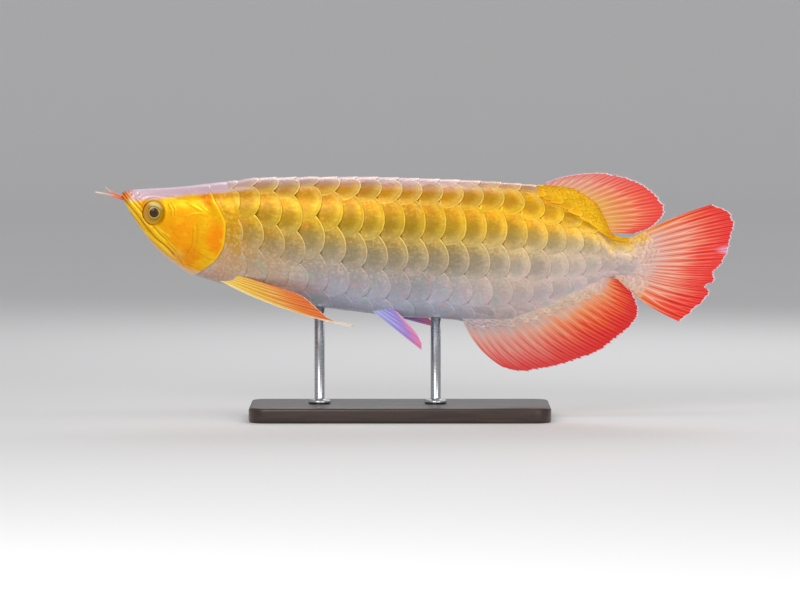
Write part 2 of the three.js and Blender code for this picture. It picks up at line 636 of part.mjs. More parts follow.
// Stand.
addPart('stand_base', baseGeometry(), COLOURS.wood, 0.4);
for (const [name, along] of Object.entries(RODS)) {
  addPart(name, toGeometry(rodSolid(along).subtract(bodyWithGap)), COLOURS.steel, 0.3, 0.9);
}

export default group;
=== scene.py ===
"""Asian arowana, life size, as a still display model on a plain stand.

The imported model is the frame. One skin replaces the solids of flesh, solid scales lie over it,
and the fins, eyes, barbels and stand get finer pieces. Lengths are in millimetres until a mesh
is made, and a place on the fish is given by its distance behind the snout and its height over
the body's axis.
"""

import logging
import math
from dataclasses import asdict, dataclass, field, fields, replace
from enum import Enum
from typing import Callable, Sequence

import bpy
import numpy as np
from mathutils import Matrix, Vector


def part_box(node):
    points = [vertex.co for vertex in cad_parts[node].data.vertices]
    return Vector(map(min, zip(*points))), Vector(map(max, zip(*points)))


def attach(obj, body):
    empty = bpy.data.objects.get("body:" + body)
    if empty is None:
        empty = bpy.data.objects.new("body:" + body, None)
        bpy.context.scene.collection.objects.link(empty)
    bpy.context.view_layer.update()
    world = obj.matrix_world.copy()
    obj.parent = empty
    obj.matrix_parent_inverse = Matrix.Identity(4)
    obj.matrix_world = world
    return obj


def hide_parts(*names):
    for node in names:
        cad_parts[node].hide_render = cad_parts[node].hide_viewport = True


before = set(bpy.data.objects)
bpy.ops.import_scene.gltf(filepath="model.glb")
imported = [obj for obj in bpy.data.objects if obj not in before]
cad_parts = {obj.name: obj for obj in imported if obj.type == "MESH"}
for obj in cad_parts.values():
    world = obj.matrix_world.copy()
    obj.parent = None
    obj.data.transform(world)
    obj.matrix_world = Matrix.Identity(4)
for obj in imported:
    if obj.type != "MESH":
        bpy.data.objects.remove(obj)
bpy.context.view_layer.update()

LOG = logging.getLogger("arowana")
Array = np.ndarray
Colour = str
Stops = Sequence[tuple[float, Colour]]
Pair = tuple[float, float]
Triple = tuple[float, float, float]
Line = tuple[Pair, ...]
Node = bpy.types.Node
Socket = bpy.types.NodeSocket
Material = bpy.types.Material
Piece = bpy.types.Object

MM = 0.001
SNOUT_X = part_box("head")[0].x / MM
AXIS_Z = 139.0
LEFT, RIGHT = 1, -1
SIDES = {"left": LEFT, "right": RIGHT}


def smooth(at: Array, low: float, high: float) -> Array:
    """Rises smoothly from 0 at low to 1 at high."""
    t = np.clip((at - low) / (high - low), 0.0, 1.0)
    return t * t * (3.0 - 2.0 * t)


def bell(at: Array, width: float) -> Array:
    """A bell curve of height 1 at zero."""
    return np.exp(-((at / width) ** 2))


def lerp(a: Array, b: Array, t: Array) -> Array:
    """Goes from a to b as t goes from 0 to 1."""
    return a + (b - a) * t


def together(*parts: Array) -> Array:
    """Numbers side by side along a new last axis."""
    return np.stack(np.broadcast_arrays(*parts), axis=-1)


def joined(parts: Sequence[Array], axis: int = 0) -> Array:
    """Arrays one after the other."""
    return np.concatenate(parts, axis=axis)


class Profile:
    """A smooth curve through pairs of position and value, which never overshoots them."""

    def __init__(self, pairs: Sequence[Sequence[float]]) -> None:
        """Works out the curve's slopes.

        Args:
            pairs: positions in rising order, each with its value.
        """
        self.x, self.y = (np.array(column, float) for column in zip(*pairs))
        rise = np.diff(self.y) / np.diff(self.x)
        before, after = rise[:-1], rise[1:]
        total = np.where(before + after == 0, 1.0, before + after)
        inner = np.where(before * after > 0, 2.0 * before * after / total, 0.0)
        self.slope = joined([rise[:1], inner, rise[-1:]])

    def __call__(self, at: Array) -> Array:
        """Reads the curve.

        Args:
            at: positions.

        Returns:
            The curve's value at each position.
        """
        at = np.clip(at, self.x[0], self.x[-1])
        i = np.clip(np.searchsorted(self.x, at, side="right") - 1, 0, len(self.x) - 2)
        span = self.x[i + 1] - self.x[i]
        t = (at - self.x[i]) / span
        start = self.y[i] * (1 + 2 * t) * (1 - t) ** 2 + self.slope[i] * span * t * (1 - t) ** 2
        return start + self.y[i + 1] * t * t * (3 - 2 * t) + self.slope[i + 1] * span * t * t * (t - 1)


def spline(points: Array, at: Array) -> Array:
    """A curve through evenly timed points.

    Args:
        points: the points, one to a row.
        at: places along the curve, from 0 to 1.

    Returns:
        One point of the curve to a row.
    """
    last = len(points) - 1
    place = np.clip(at, 0.0, 1.0) * last
    i = np.minimum(place.astype(int), last - 1)
    t = (place - i)[..., None]
    before, start = points[np.maximum(i - 1, 0)], points[i]
    end, after = points[i + 1], points[np.minimum(i + 2, last)]
    leave, arrive = (end - before) / 2, (after - start) / 2
    cubic = (2 * (start - end) + leave + arrive) * t**3
    return cubic + (3 * (end - start) - 2 * leave - arrive) * t**2 + leave * t + start


BACK = Profile([
    (0, 41.6), (4, 43.6), (22, 45.1), (42, 46.2), (66, 48.7), (90, 51.5), (114, 54), (186, 54.6),
    (246, 53), (294, 50.8), (324, 48.6), (346, 47.6), (359, 46), (370, 40.4), (380, 33), (387, 20),
    (392, 9), (402, 6.2), (420, 6.4),
])
BELLY = Profile([
    (0, 39.2), (5.6, 28), (13.6, 15.6), (22.4, 3.4), (30.4, -5.4), (44.8, -16.8), (54.4, -22.4),
    (78.4, -30.6), (102.4, -38), (126.4, -45), (162.4, -50.6), (186.4, -53.4), (222.4, -57.6),
    (258.4, -59.4), (286.4, -63.2), (302.4, -63.6), (318.4, -60.8), (350.4, -49.2), (378.4, -36),
    (387.2, -29.6), (395, -26.4), (405, -27.6), (420, -29),
])
HALF_WIDTH = Profile([
    (0, 2.8), (1.5, 4.6), (4, 6.4), (8, 8.4), (20, 12.6), (35, 17), (50, 20.4), (70, 23.8),
    (90, 25.8), (120, 27.4), (180, 28), (240, 26), (300, 21), (340, 16), (370, 11.2), (392, 7.4),
    (406, 4.6), (420, 1.7),
])
TOP_ROUND = Profile([
    (0, 2.4), (60, 3), (180, 2.7), (300, 2.4), (360, 1.9), (385, 1.7), (405, 2), (420, 2),
])
KEEL_ROUND = Profile([(0, 1.9), (60, 1.9), (180, 1.8), (300, 1.6), (370, 1.6), (405, 1.9), (420, 2)])
LEVEL = Profile([(0, 0.55), (30, 0.62), (200, 0.6), (340, 0.55), (400, 0.5), (420, 0.5)])
GILL_EDGE = Profile([
    (0, 70), (0.15, 71), (0.27, 75), (0.36, 80), (0.46, 84), (0.58, 83), (0.7, 78), (0.82, 68),
    (1, 54),
])
COAT_START = Profile([(0, 82), (0.2, 88), (0.35, 94), (0.6, 97), (0.8, 94), (1, 90)])
TAIL_ROOT = (411.0, 419.0)


@dataclass
class BodyForm:
    """The body as a surface over distance behind the snout and share of the half girth.

    The share is 0 at the back and 1 at the keel. A table of sections is worked out once and read
    between its lines.
    """

    length: float = 420.0
    stations: int = 1051
    shares: int = 257
    steps: int = 192

    def __post_init__(self) -> None:
        """Works out the table of sections and the normals in their planes."""
        along = np.linspace(0.0, self.length, self.stations)[:, None]
        top, bottom = BACK(along), BELLY(along)
        widest = lerp(bottom, top, LEVEL(along))
        angle = np.linspace(0.0, math.pi, self.steps + 1)[None, :]
        upper = angle <= math.pi / 2
        power = 2.0 / np.where(upper, TOP_ROUND(along), KEEL_ROUND(along))
        out = HALF_WIDTH(along) * np.abs(np.sin(angle)) ** power
        share = np.abs(np.cos(angle)) ** power
        height = np.where(upper, lerp(widest, top, share), lerp(widest, bottom, share))
        steps = np.hypot(np.diff(out, axis=1), np.diff(height, axis=1))
        length = joined([np.zeros((self.stations, 1)), np.cumsum(steps, axis=1)], axis=1)
        even = np.linspace(0.0, 1.0, self.shares)
        rows = range(self.stations)
        self.out = np.array([np.interp(even * length[r, -1], length[r], out[r]) for r in rows])
        self.up = np.array([np.interp(even * length[r, -1], length[r], height[r]) for r in rows])
        self.out[:, [0, -1]] = 0.0
        across, down = np.gradient(self.out, axis=1), np.gradient(self.up, axis=1)
        size = np.hypot(across, down)
        self.normal_out, self.normal_up = -down / size, across / size
        self.normal_out[:, [0, -1]] = 0.0
        self.normal_up[:, 0], self.normal_up[:, -1] = 1.0, -1.0

    def read(self, table: Array, along: Array, girth: Array) -> Array:
        """Reads a table between its lines.

        Args:
            table: one of the form's tables.
            along: distances behind the snout.
            girth: shares of the half girth, from 0 to 1.

        Returns:
            The table's value at each place.
        """
        row = np.clip(along / self.length, 0.0, 1.0) * (self.stations - 1)
        column = np.clip(girth, 0.0, 1.0) * (self.shares - 1)
        r = np.minimum(row.astype(int), self.stations - 2)
        c = np.minimum(column.astype(int), self.shares - 2)
        upper = lerp(table[r, c], table[r, c + 1], column - c)
        lower = lerp(table[r + 1, c], table[r + 1, c + 1], column - c)
        return lerp(upper, lower, row - r)

    def girth_at(self, along: Array, height: Array) -> Array:
        """Finds the share of the half girth at which the surface has a height, by halving.

        Args:
            along: distances behind the snout.
            height: heights over the axis.

        Returns:
            The shares, from 0 to 1.
        """
        low, high = np.zeros_like(along), np.ones_like(along)
        for _ in range(18):
            middle = (low + high) / 2
            above = self.read(self.up, along, middle) > height
            low, high = np.where(above, middle, low), np.where(above, high, middle)
        return (low + high) / 2

    def point(self, along: Array, girth: Array, side: Array, lift: Array) -> Array:
        """Puts places of the surface in the model.

        Args:
            along: distances behind the snout.
            girth: shares of the half girth. One under 0 or over 1 lies on the other side.
            side: LEFT or RIGHT.
            lift: heights over the surface.

        Returns:
            One point to a row.
        """
        along, girth, side, lift = np.broadcast_arrays(along, girth, side, lift)
        side = np.where((girth < 0) | (girth > 1), -side, side)
        girth = np.abs(1.0 - np.abs(1.0 - girth))
        out = self.read(self.out, along, girth) + lift * self.read(self.normal_out, along, girth)
        up = self.read(self.up, along, girth) + lift * self.read(self.normal_up, along, girth)
        return together(SNOUT_X + along, -side * out, AXIS_Z + up)


BODY = BodyForm()


def outward(points: Array, faces: list[Array]) -> list[Array]:
    """Turns a closed surface's faces round if they point inwards.

    Args:
        points: the surface's points.
        faces: arrays of corner numbers, each of faces with equally many corners.

    Returns:
        The faces, pointing outwards.
    """
    volume = 0.0
    for group in faces:
        for i in range(1, group.shape[1] - 1):
            a, b, c = (points[group[:, corner]] for corner in (0, i, i + 1))
            volume += float(np.sum(a * np.cross(b, c)))
    return faces if volume > 0 else [group[:, ::-1] for group in faces]


def numbers(source: object, name: str, width: int = 1, kind: type = float) -> Array:
    """Reads one property of every item of a mesh's collection.

    Args:
        source: the collection.
        name: the property.
        width: how many numbers an item has.
        kind: the type of the numbers.

    Returns:
        One item to a row.
    """
    values = np.empty(len(source) * width, kind)
    source.foreach_get(name, values)
    return values.reshape(-1, width) if width > 1 else values


def show(name: str, data: object) -> Piece:
    """Puts a mesh, a lamp or a camera in the scene as an object."""
    thing = bpy.data.objects.new(name, data)
    bpy.context.scene.collection.objects.link(thing)
    return thing


def make_piece(name: str, points: Array, faces: list[Array], material: Material) -> Piece:
    """Makes a smooth-shaded mesh object from a closed surface.

    Args:
        name: the piece's name.
        points: its points in millimetres.
        faces: arrays of corner numbers.
        material: its finish.

    Returns:
        The object, at the origin.
    """
    faces = outward(points - points.mean(axis=0), faces)
    mesh = bpy.data.meshes.new(name)
    mesh.vertices.add(len(points))
    mesh.vertices.foreach_set("co", (points * MM).astype(np.float32).ravel())
    sizes = joined([np.full(len(group), group.shape[1]) for group in faces])
    corners = joined([group.ravel() for group in faces])
    mesh.loops.add(len(corners))
    mesh.loops.foreach_set("vertex_index", corners.astype(np.int32))
    mesh.polygons.add(len(sizes))
    mesh.polygons.foreach_set("loop_start", (np.cumsum(sizes) - sizes).astype(np.int32))
    mesh.update(calc_edges=True)
    mesh.shade_smooth()
    mesh.materials.append(material)
    return show(name, mesh)


def add_values(piece: Piece, **kept: Array) -> None:
    """Keeps numbers for each point of a piece, for its finish to read."""
    for name, values in kept.items():
        attribute = piece.data.attributes.new(name, "FLOAT", "POINT")
        attribute.data.foreach_set("value", np.asarray(values, np.float32).ravel())


def add_map(piece: Piece, name: str, places: Array) -> None:
    """Adds a UV map to a piece.

    Args:
        piece: the piece.
        name: the map's name.
        places: one place to a point of the mesh, or one to a corner of its faces.
    """
    mesh = piece.data
    if len(places) == len(mesh.vertices):
        places = places[numbers(mesh.loops, "vertex_index", kind=np.int32)]
    layer = mesh.uv_layers.new(name=name)
    layer.uv.foreach_set("vector", np.asarray(places, np.float32).ravel())


def settle(piece: Piece, nodes: Sequence[str] = ()) -> None:
    """Puts a piece on the part's one body and hides the nodes it stands for.

    Args:
        piece: the finished piece.
        nodes: the CAD nodes that it replaces.
    """
    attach(piece, "root")
    if nodes:
        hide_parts(*nodes)
    LOG.info("%s: %d faces", piece.name, len(piece.data.polygons))


def grid_faces(rows: int, columns: int, closed: bool = False) -> Array:
    """The faces of a grid of points.

    Args:
        rows: how many rows of points.
        columns: how many points in a row.
        closed: whether each row runs round to its start.

    Returns:
        Four corner numbers to a row.
    """
    steps = np.arange(columns if closed else columns - 1)
    r, c = np.meshgrid(np.arange(rows - 1), steps, indexing="ij")
    after = (c + 1) % columns
    below = (r + 1) * columns
    corners = [r * columns + c, r * columns + after, below + after, below + c]
    return np.stack([corner.ravel() for corner in corners], axis=1)


def cap_faces(centre: int, ring: Array) -> Array:
    """The triangles that close a ring of points round a centre point."""
    return np.stack([np.full(len(ring), centre), np.roll(ring, -1), ring], axis=1)


def ringed(rings: Array, ends: Array) -> tuple[Array, list[Array]]:
    """A closed surface through rings of points.

    Args:
        rings: the rings, with equally many points in each.
        ends: the point that closes the first ring, and the one that closes the last.

    Returns:
        Its points and its faces.
    """
    count, sides = rings.shape[:2]
    total = count * sides
    first = np.arange(sides)
    last = first + total - sides
    caps = [cap_faces(total, first), cap_faces(total + 1, last[::-1])]
    faces = [grid_faces(count, sides, closed=True), joined(caps)]
    return joined([rings.reshape(-1, 3), ends]), faces


def sheet_faces(rows: int, columns: int) -> Array:
    """The faces of a thin sheet, whose points are a grid for its one side and one for the other.

    Args:
        rows: how many rows of points a side has.
        columns: how many points a row has.

    Returns:
        Four corner numbers to a row.
    """
    top, below = grid_faces(rows, columns), rows * columns
    rim = joined([
        np.arange(columns), np.arange(1, rows) * columns + columns - 1,
        (rows - 1) * columns + np.arange(columns - 2, -1, -1), np.arange(rows - 2, 0, -1) * columns,
    ])
    after = np.roll(rim, -1)
    walls = together(after, rim, rim + below, after + below)
    return joined([top, top[:, ::-1] + below, walls])


def turns(sides: int) -> Array:
    """Even steps of one turn."""
    return np.linspace(0.0, 2 * math.pi, sides, endpoint=False)


def rgba(colour: Colour) -> tuple[float, float, float, float]:
    """A hexadecimal screen colour as the linear one that a shader takes."""
    parts = [int(colour[i : i + 2], 16) / 255.0 for i in (1, 3, 5)]
    linear = [p / 12.92 if p <= 0.04045 else ((p + 0.055) / 1.055) ** 2.4 for p in parts]
    return (*linear, 1.0)


class Value:
    """A number or a colour in a node tree, that sums, steps and blends are written on."""

    def __init__(self, tree: "Tree", socket: Socket) -> None:
        """Keeps the socket that gives the value."""
        self.tree, self.socket = tree, socket

    def __add__(self, other: object) -> "Value":
        """The sum of two values."""
        return self.tree.math("ADD", self, other)

    def __sub__(self, other: object) -> "Value":
        """The difference of two values."""
        return self.tree.math("SUBTRACT", self, other)

    def __mul__(self, other: object) -> "Value":
        """The product of two values."""
        return self.tree.math("MULTIPLY", self, other)

    def __truediv__(self, other: object) -> "Value":
        """One value over another."""
        return self.tree.math("DIVIDE", self, other)

    def line(self, slope: object, start: object) -> "Value":
        """The value times a slope, on top of a start."""
        return self.tree.math("MULTIPLY_ADD", self, slope, start)

    def step(self, low: float, high: float) -> "Value":
        """Rises smoothly from 0 at low to 1 at high, or falls where high is the lower."""
        inputs = {"Value": self, "From Min": low, "From Max": high}
        return self.tree.get("ShaderNodeMapRange", inputs, interpolation_type="SMOOTHSTEP")

    def mix(self, factor: object, other: object, blend: str = "MIX") -> "Value":
        """This colour with another laid over it."""
        return self.tree.mix(factor, self, other, blend)

    def ramp(self, stops: Stops) -> "Value":
        """A colour that runs through stops as the value goes from 0 to 1.

        Args:
            stops: the positions in rising order, each with its colour.

        Returns:
            The colour.
        """
        node = self.tree.node("ShaderNodeValToRGB", {0: self})
        elements = node.color_ramp.elements
        while len(elements) < len(stops):
            elements.new(1.0)
        for element, (position, colour) in zip(elements, stops):
            element.position = position
            element.color = rgba(colour)
        return Value(self.tree, node.outputs[0])


def distance(x: Value, y: Value) -> Value:
    """How far two differences are together."""
    squares = [part.tree.math("POWER", part, 2.0) for part in (x, y)]
    return x.tree.math("SQRT", squares[0] + squares[1])


class Tree:
    """A node tree, with short calls for its nodes."""

    def __init__(self, tree: bpy.types.NodeTree) -> None:
        """Keeps the tree's nodes and links."""
        self.nodes, self.links = tree.nodes, tree.links

    def fill(self, inputs: object, given: dict) -> None:
        """Gives a node's inputs their values.

        Args:
            inputs: the node's inputs.
            given: a number, a value or a socket for each, by its name or number.
        """
        for name, value in given.items():
            value = value.socket if isinstance(value, Value) else value
            if isinstance(value, Socket):
                self.links.new(value, inputs[name])
            else:
                inputs[name].default_value = value

    def node(self, kind: str, inputs: dict, **settings: object) -> Node:
        """Adds a node.

        Args:
            kind: the node's type.
            inputs: what each input is given, by its name or number.
            settings: the node's own properties.

        Returns:
            The node.
        """
        node = self.nodes.new(kind)
        for name, value in settings.items():
            setattr(node, name, value)
        self.fill(node.inputs, inputs)
        return node

    def get(self, kind: str, inputs: dict, output: object = 0, **settings: object) -> Value:
        """Adds a node and gives one of its outputs."""
        return Value(self, self.node(kind, inputs, **settings).outputs[output])

    def math(self, operation: str, *values: object) -> Value:
        """The result of a sum on one to three values."""
        return self.get("ShaderNodeMath", dict(enumerate(values)), operation=operation)

    def vector(self, *parts: object) -> Value:
        """Up to three numbers as one vector."""
        return self.get("ShaderNodeCombineXYZ", dict(enumerate(parts)))

    def parts(self, vector: object) -> list[Value]:
        """The three numbers of a vector."""
        return [Value(self, part) for part in self.node("ShaderNodeSeparateXYZ", {0: vector}).outputs]


@dataclass(frozen=True)
class Tint:
    """A soft oval of colour on both sides of the head."""

    centre: Pair
    radii: Pair
    colour: Colour
    strength: float = 1.0


@dataclass(frozen=True)
class Mottle:
    """Random patches of a colour, which show where the noise is within a range."""

    colour: Colour
    scale: float
    shows: Pair
    strength: float
    stretch: Triple = (1, 1, 1)
    detail: float = 3.0


class Graph(Tree):
    """A material's node tree, with short calls for the patterns that the finishes share."""

    def __init__(self, name: str) -> None:
        """Starts a material with its shader and the places that its patterns read."""
        self.material = bpy.data.materials.new(name)
        self.material.use_nodes = True
        super().__init__(self.material.node_tree)
        self.shader = self.nodes["Principled BSDF"]
        self.place = self.get("ShaderNodeTexCoord", {}, "Object")
        x, _, z = self.parts(self.place)
        self.along, self.height = x.line(1.0 / MM, -SNOUT_X), z.line(1.0 / MM, -AXIS_Z)

    def attributes(self, *names: str) -> list[Value]:
        """The numbers that the piece keeps for each of its points."""
        return [self.get("ShaderNodeAttribute", {}, "Fac", attribute_name=name) for name in names]

    def map(self, name: str) -> list[Value]:
        """The two numbers of one of the piece's own maps."""
        return self.parts(self.get("ShaderNodeUVMap", {}, uv_map=name))[:2]

    def mix(self, factor: object, a: object, b: object, blend: str = "MIX") -> Value:
        """Mixes two colours, which are the node's inputs 6 and 7."""
        a, b = (rgba(colour) if isinstance(colour, str) else colour for colour in (a, b))
        return self.get("ShaderNodeMix", {0: factor, 6: a, 7: b}, 2, data_type="RGBA", blend_type=blend)

    def noise(self, scale: float, detail: float = 2.0, stretch: Triple = (1, 1, 1)) -> Value:
        """Random patches of a pattern, stretched along the model's axes."""
        mapping = self.get("ShaderNodeMapping", {"Vector": self.place, "Scale": Vector(stretch)})
        return self.noise_over(mapping, scale, detail)

    def noise_over(self, place: object, scale: float, detail: float = 3.0) -> Value:
        """Random patches over places of the caller's own."""
        inputs = {"Vector": place, "Scale": scale, "Detail": detail}
        return self.get("ShaderNodeTexNoise", inputs, "Fac")

    def mottled(self, colour: Value, mottle: Mottle, mask: Value | None = None) -> Value:
        """Lays random patches over a colour.

        Args:
            colour: the colour beneath.
            mottle: the patches.
            mask: where they may show, if not everywhere.

        Returns:
            The colour with the patches.
        """
        shown = self.noise(mottle.scale, mottle.detail, mottle.stretch).step(*mottle.shows)
        shown = shown if mask is None else shown * mask
        return colour.mix(shown * mottle.strength, mottle.colour)

    def spot(self, centre: Pair, radii: Pair) -> Value:
        """A soft oval on both flanks, 1 at its centre and 0 from its radii outwards."""
        x, z = (self.along - centre[0]) / radii[0], (self.height - centre[1]) / radii[1]
        return distance(x, z).step(1.0, 0.25)

    def tinted(self, colour: Value, tints: Sequence[Tint]) -> Value:
        """Lays soft ovals over a colour, the lowest first."""
        for tint in tints:
            colour = colour.mix(self.spot(tint.centre, tint.radii) * tint.strength, tint.colour)
        return colour

    def bump(self, height: Value, depth: float, strength: float = 1.0) -> None:
        """Presses a pattern into the surface, chained onto what is there.

        Args:
            height: the pattern.
            depth: how far it lifts, in metres.
            strength: how strongly it shows.
        """
        normal = self.shader.inputs["Normal"]
        inputs = {"Height": height, "Distance": depth, "Strength": strength}
        if normal.links:
            inputs["Normal"] = normal.links[0].from_socket
        self.links.new(self.node("ShaderNodeBump", inputs).outputs[0], normal)

    def finish(self, colour: object, **settings: object) -> Material:
        """Sets the shader's colour and its other inputs.

        Args:
            colour: the base colour.
            settings: numbers or values by the shader's input names, with low lines for spaces.

        Returns:
            The material.
        """
        given = {"Base_Color": colour, **settings}
        self.fill(self.shader.inputs, {name.replace("_", " "): value for name, value in given.items()})
        return self.material


@dataclass(frozen=True)
class Markings:
    """The colours of the trunk, shared by its skin and its scales, by share of the half girth."""

    front: Stops = (
        (0.0, "#F6DCE6"), (0.14, "#F0D2DA"), (0.175, "#E6BEA4"), (0.205, "#D69236"), (0.24, "#D08C00"),
        (0.42, "#C88E00"), (0.52, "#BE9430"), (0.62, "#C6A472"), (0.78, "#D0B698"), (0.9, "#CEBEBA"),
        (1.0, "#D6D0D6"),
    )
    middle: Stops = (
        (0.0, "#F4DAE2"), (0.11, "#ECC8CA"), (0.14, "#DC9A60"), (0.18, "#D28600"), (0.32, "#CA8A00"),
        (0.42, "#B88C18"), (0.52, "#AA9052"), (0.64, "#A49A88"), (0.76, "#B2B0BC"), (0.88, "#C0C8E0"),
        (1.0, "#DCE2F4"),
    )
    rear: Stops = (
        (0.0, "#F0A808"), (0.1, "#F4AC00"), (0.32, "#ECA602"), (0.4, "#DEA830"), (0.49, "#CCB27C"),
        (0.62, "#D2BEA6"), (0.8, "#D8C2B8"), (1.0, "#D8C4C2"),
    )
    tail: Stops = (
        (0.0, "#FFC60C"), (0.12, "#FBC01C"), (0.24, "#E2BA70"), (0.36, "#D2B8A2"), (0.6, "#C9B2B2"),
        (1.0, "#D6BEBC"),
    )
    rims: Stops = (
        (0.0, "#FFF4F6"), (0.11, "#FFECD4"), (0.17, "#FFE484"), (0.3, "#FFDC34"), (0.42, "#FFDC54"),
        (0.5, "#F6DA84"), (0.62, "#EED4B4"), (0.8, "#EED6D4"), (1.0, "#ECE4EC"),
    )
    # Darker middles of the scales: partly their own colour, partly painted shade.
    middles: Stops = (
        (0.0, "#D4B4C0"), (0.13, "#D0A08C"), (0.18, "#BC8408"), (0.4, "#987A10"), (0.52, "#92845A"),
        (0.7, "#948E86"), (1.0, "#ACB0C6"),
    )
    crown: Stops = (
        (0.0, "#DAAC8A"), (0.2, "#DAB6B4"), (0.45, "#E0C0C8"), (0.75, "#EECCDA"), (1.0, "#F8DCE8"),
    )
    crown_slope: float = 0.105
    crown_edge: Pair = (32.4, 36.4)
    crown_starts: Pair = (4.0, 12.0)
    crown_ends: Pair = (118.0, 98.0)
    crown_specks: Mottle = Mottle("#F6DCE4", 330.0, (0.62, 0.7), 0.7, (0.6, 1, 1), 2.0)
    front_ends: Pair = (110.0, 170.0)
    rear_starts: Pair = (246.0, 322.0)
    tail_starts: Pair = (374.0, 400.0)
    low_side: Pair = (0.5, 0.72)
    bright_specks: tuple[Colour, Colour] = ("#FFD048", "#F2DCC0")
    dark_specks: Colour = "#9C7840"
    warm: Mottle = Mottle("#E8924C", 210.0, (0.54, 0.68), 0.4, (1.3, 1, 0.6))
    warm_ends: Pair = (0.62, 0.4)
    teal: Mottle = Mottle("#90C4B0", 130.0, (0.54, 0.72), 0.45)
    pink: Mottle = Mottle("#DCAAAE", 120.0, (0.54, 0.72), 0.4, (1.3, 1, 0.8))
    tints: tuple[Tint, ...] = (
        Tint((72, -26), (26, 13), "#BC9080", 0.8),
        Tint((86, -15), (22, 15), "#C69C74", 0.7),
        Tint((94, 12), (34, 30), "#CC960C", 0.75),
        Tint((86, 30), (20, 16), "#D8A00C", 0.8),
    )

    def base(self, graph: Graph, girth: Value) -> Value:
        """The trunk's own colour at each share of the half girth.

        Args:
            graph: the material to draw in.
            girth: the share.

        Returns:
            The colour.
        """
        place = girth + graph.noise(60.0, 3.0).line(0.07, -0.035)
        colour = place.ramp(self.front)
        later = ((self.front_ends, self.middle), (self.rear_starts, self.rear), (self.tail_starts, self.tail))
        for change, stops in later:
            colour = colour.mix(graph.along.step(*change), place.ramp(stops))
        colour = graph.tinted(colour, self.tints)
        colour = graph.mottled(colour, self.warm, girth.step(*self.warm_ends))
        low, grain = girth.step(*self.low_side), graph.noise(460.0, 3.0)
        bright = graph.mix(girth.step(0.4, 0.6), *self.bright_specks)
        colour = colour.mix(grain.step(0.52, 0.66) * 0.34, bright)
        colour = colour.mix(grain.step(0.48, 0.34) * low.line(-0.24, 0.4), self.dark_specks)
        for mottle in (self.teal, self.pink):
            colour = graph.mottled(colour, mottle, low)
        return self.add_crown(graph, colour)

    def add_crown(self, graph: Graph, colour: Value) -> Value:
        """Lays the lilac band along the top of head and nape.

        Args:
            graph: the material to draw in.
            colour: the colour beneath.

        Returns:
            The colour.
        """
        ragged = graph.noise(170.0, 3.0, (0.5, 1, 1)).line(3.0, -1.5)
        level = graph.height - graph.along * self.crown_slope
        band = (level + ragged).step(*self.crown_edge)
        band = band * graph.along.step(*self.crown_starts) * graph.along.step(*self.crown_ends)
        shade = (level - self.crown_edge[0]) * 0.1
        crown = (shade + ragged * 0.12).ramp(self.crown)
        return colour.mix(band, graph.mottled(crown, self.crown_specks))


@dataclass(frozen=True)
class SkinFinish:
    """Wet skin: golden on the head, and the trunk's markings where it shows between scales."""

    gold: Colour = "#EFB000"
    pale_gold: Colour = "#F9B402"
    lines: Colour = "#FFD01A"
    # Painted shade for the head's cut-in creases, nostril pits and eye socket rim.
    creases: Colour = "#B87404"
    keel: Colour = "#E8C6B4"
    mottles: tuple[Mottle, ...] = (
        Mottle("#B87404", 520.0, (0.56, 0.68), 0.22),
        Mottle("#FFD01A", 230.0, (0.52, 0.66), 0.35, (0.5, 1, 1)),
    )
    tints: tuple[Tint, ...] = (
        Tint((48, 10), (20, 25), "#FFA200"),
        Tint((77, 4), (14, 22), "#FF9600"),
        Tint((55, -9), (13, 13), "#F29200", 0.9),
        Tint((71, 38), (13, 9), "#EC8208"),
        Tint((50, 34), (24, 6), "#F6BA04", 0.8),
        Tint((71, -12), (9, 9), "#F0B618", 0.9),
        Tint((38, -8), (18, 9), "#E8A850", 0.75),
        Tint((58, -25), (26, 7), "#DDBBA0", 0.9),
        Tint((13, 33), (9, 12), "#EE9A10", 0.7),
        Tint((-1, 39.5), (14, 9), "#E63A18"),
        Tint((7, 43.5), (9, 4), "#F0829C", 0.9),
    )

    def build(self) -> Material:
        """Makes the material."""
        graph = Graph("skin")
        girth, relief, head, jaw, cover = graph.attributes("girth", "relief", "head", "jaw", "cover")
        colour = graph.mix(graph.noise(45.0, 3.0), self.gold, self.pale_gold)
        colour = graph.tinted(colour, self.tints)
        for mottle in self.mottles:
            colour = graph.mottled(colour, mottle)
        colour = self.jaw_lines(graph, colour, jaw)
        colour = colour.mix(girth.step(0.86, 0.97) * graph.along.step(12.0, 24.0) * 0.8, self.keel)
        colour = colour.mix(relief.step(0.1, 0.75) * graph.along.step(3.0, 8.0) * 0.85, self.lines)
        # Painted shade: where the relief is cut in, in creases, nostril pits and round the eye socket, the
        # colour darkens.
        colour = colour.mix(relief.step(-0.1, -0.8) * 0.7, self.creases)
        colour = colour.mix(cover * 0.7, self.lines)
        markings = Markings()
        colour = markings.base(graph, girth).mix(head, colour)
        colour = markings.add_crown(graph, colour)
        fine = graph.noise(900.0, 3.0)
        graph.bump(fine, 0.00012, 0.5)
        graph.bump(graph.noise(210.0), 0.0004, 0.4)
        return graph.finish(
            colour, Roughness=fine.line(0.14, 0.3), Metallic=0.4, Specular_IOR_Level=0.15,
            Coat_Weight=0.07, Coat_Roughness=0.15, Subsurface_Weight=0.06,
            Subsurface_Radius=(0.004, 0.002, 0.001), Subsurface_Scale=1.0,
        )

    def jaw_lines(self, graph: Graph, colour: Value, jaw: Value) -> Value:
        """Lays fine light and dark lines along the mouth.

        Args:
            graph: the material to draw in.
            colour: the colour beneath.
            jaw: the distance from the mouth's line.

        Returns:
            The colour.
        """
        lines = graph.noise_over(graph.vector(jaw, graph.along * 0.09, 0.0), 0.85, 2.0)
        near = graph.math("ABSOLUTE", jaw - 1.5).step(8.0, 4.5) * graph.along.step(50.0, 36.0)
        colour = colour.mix(lines.step(0.5, 0.6) * near * 0.9, "#FFE23A")
        return colour.mix(lines.step(0.46, 0.38) * near * 0.55, "#B88408")


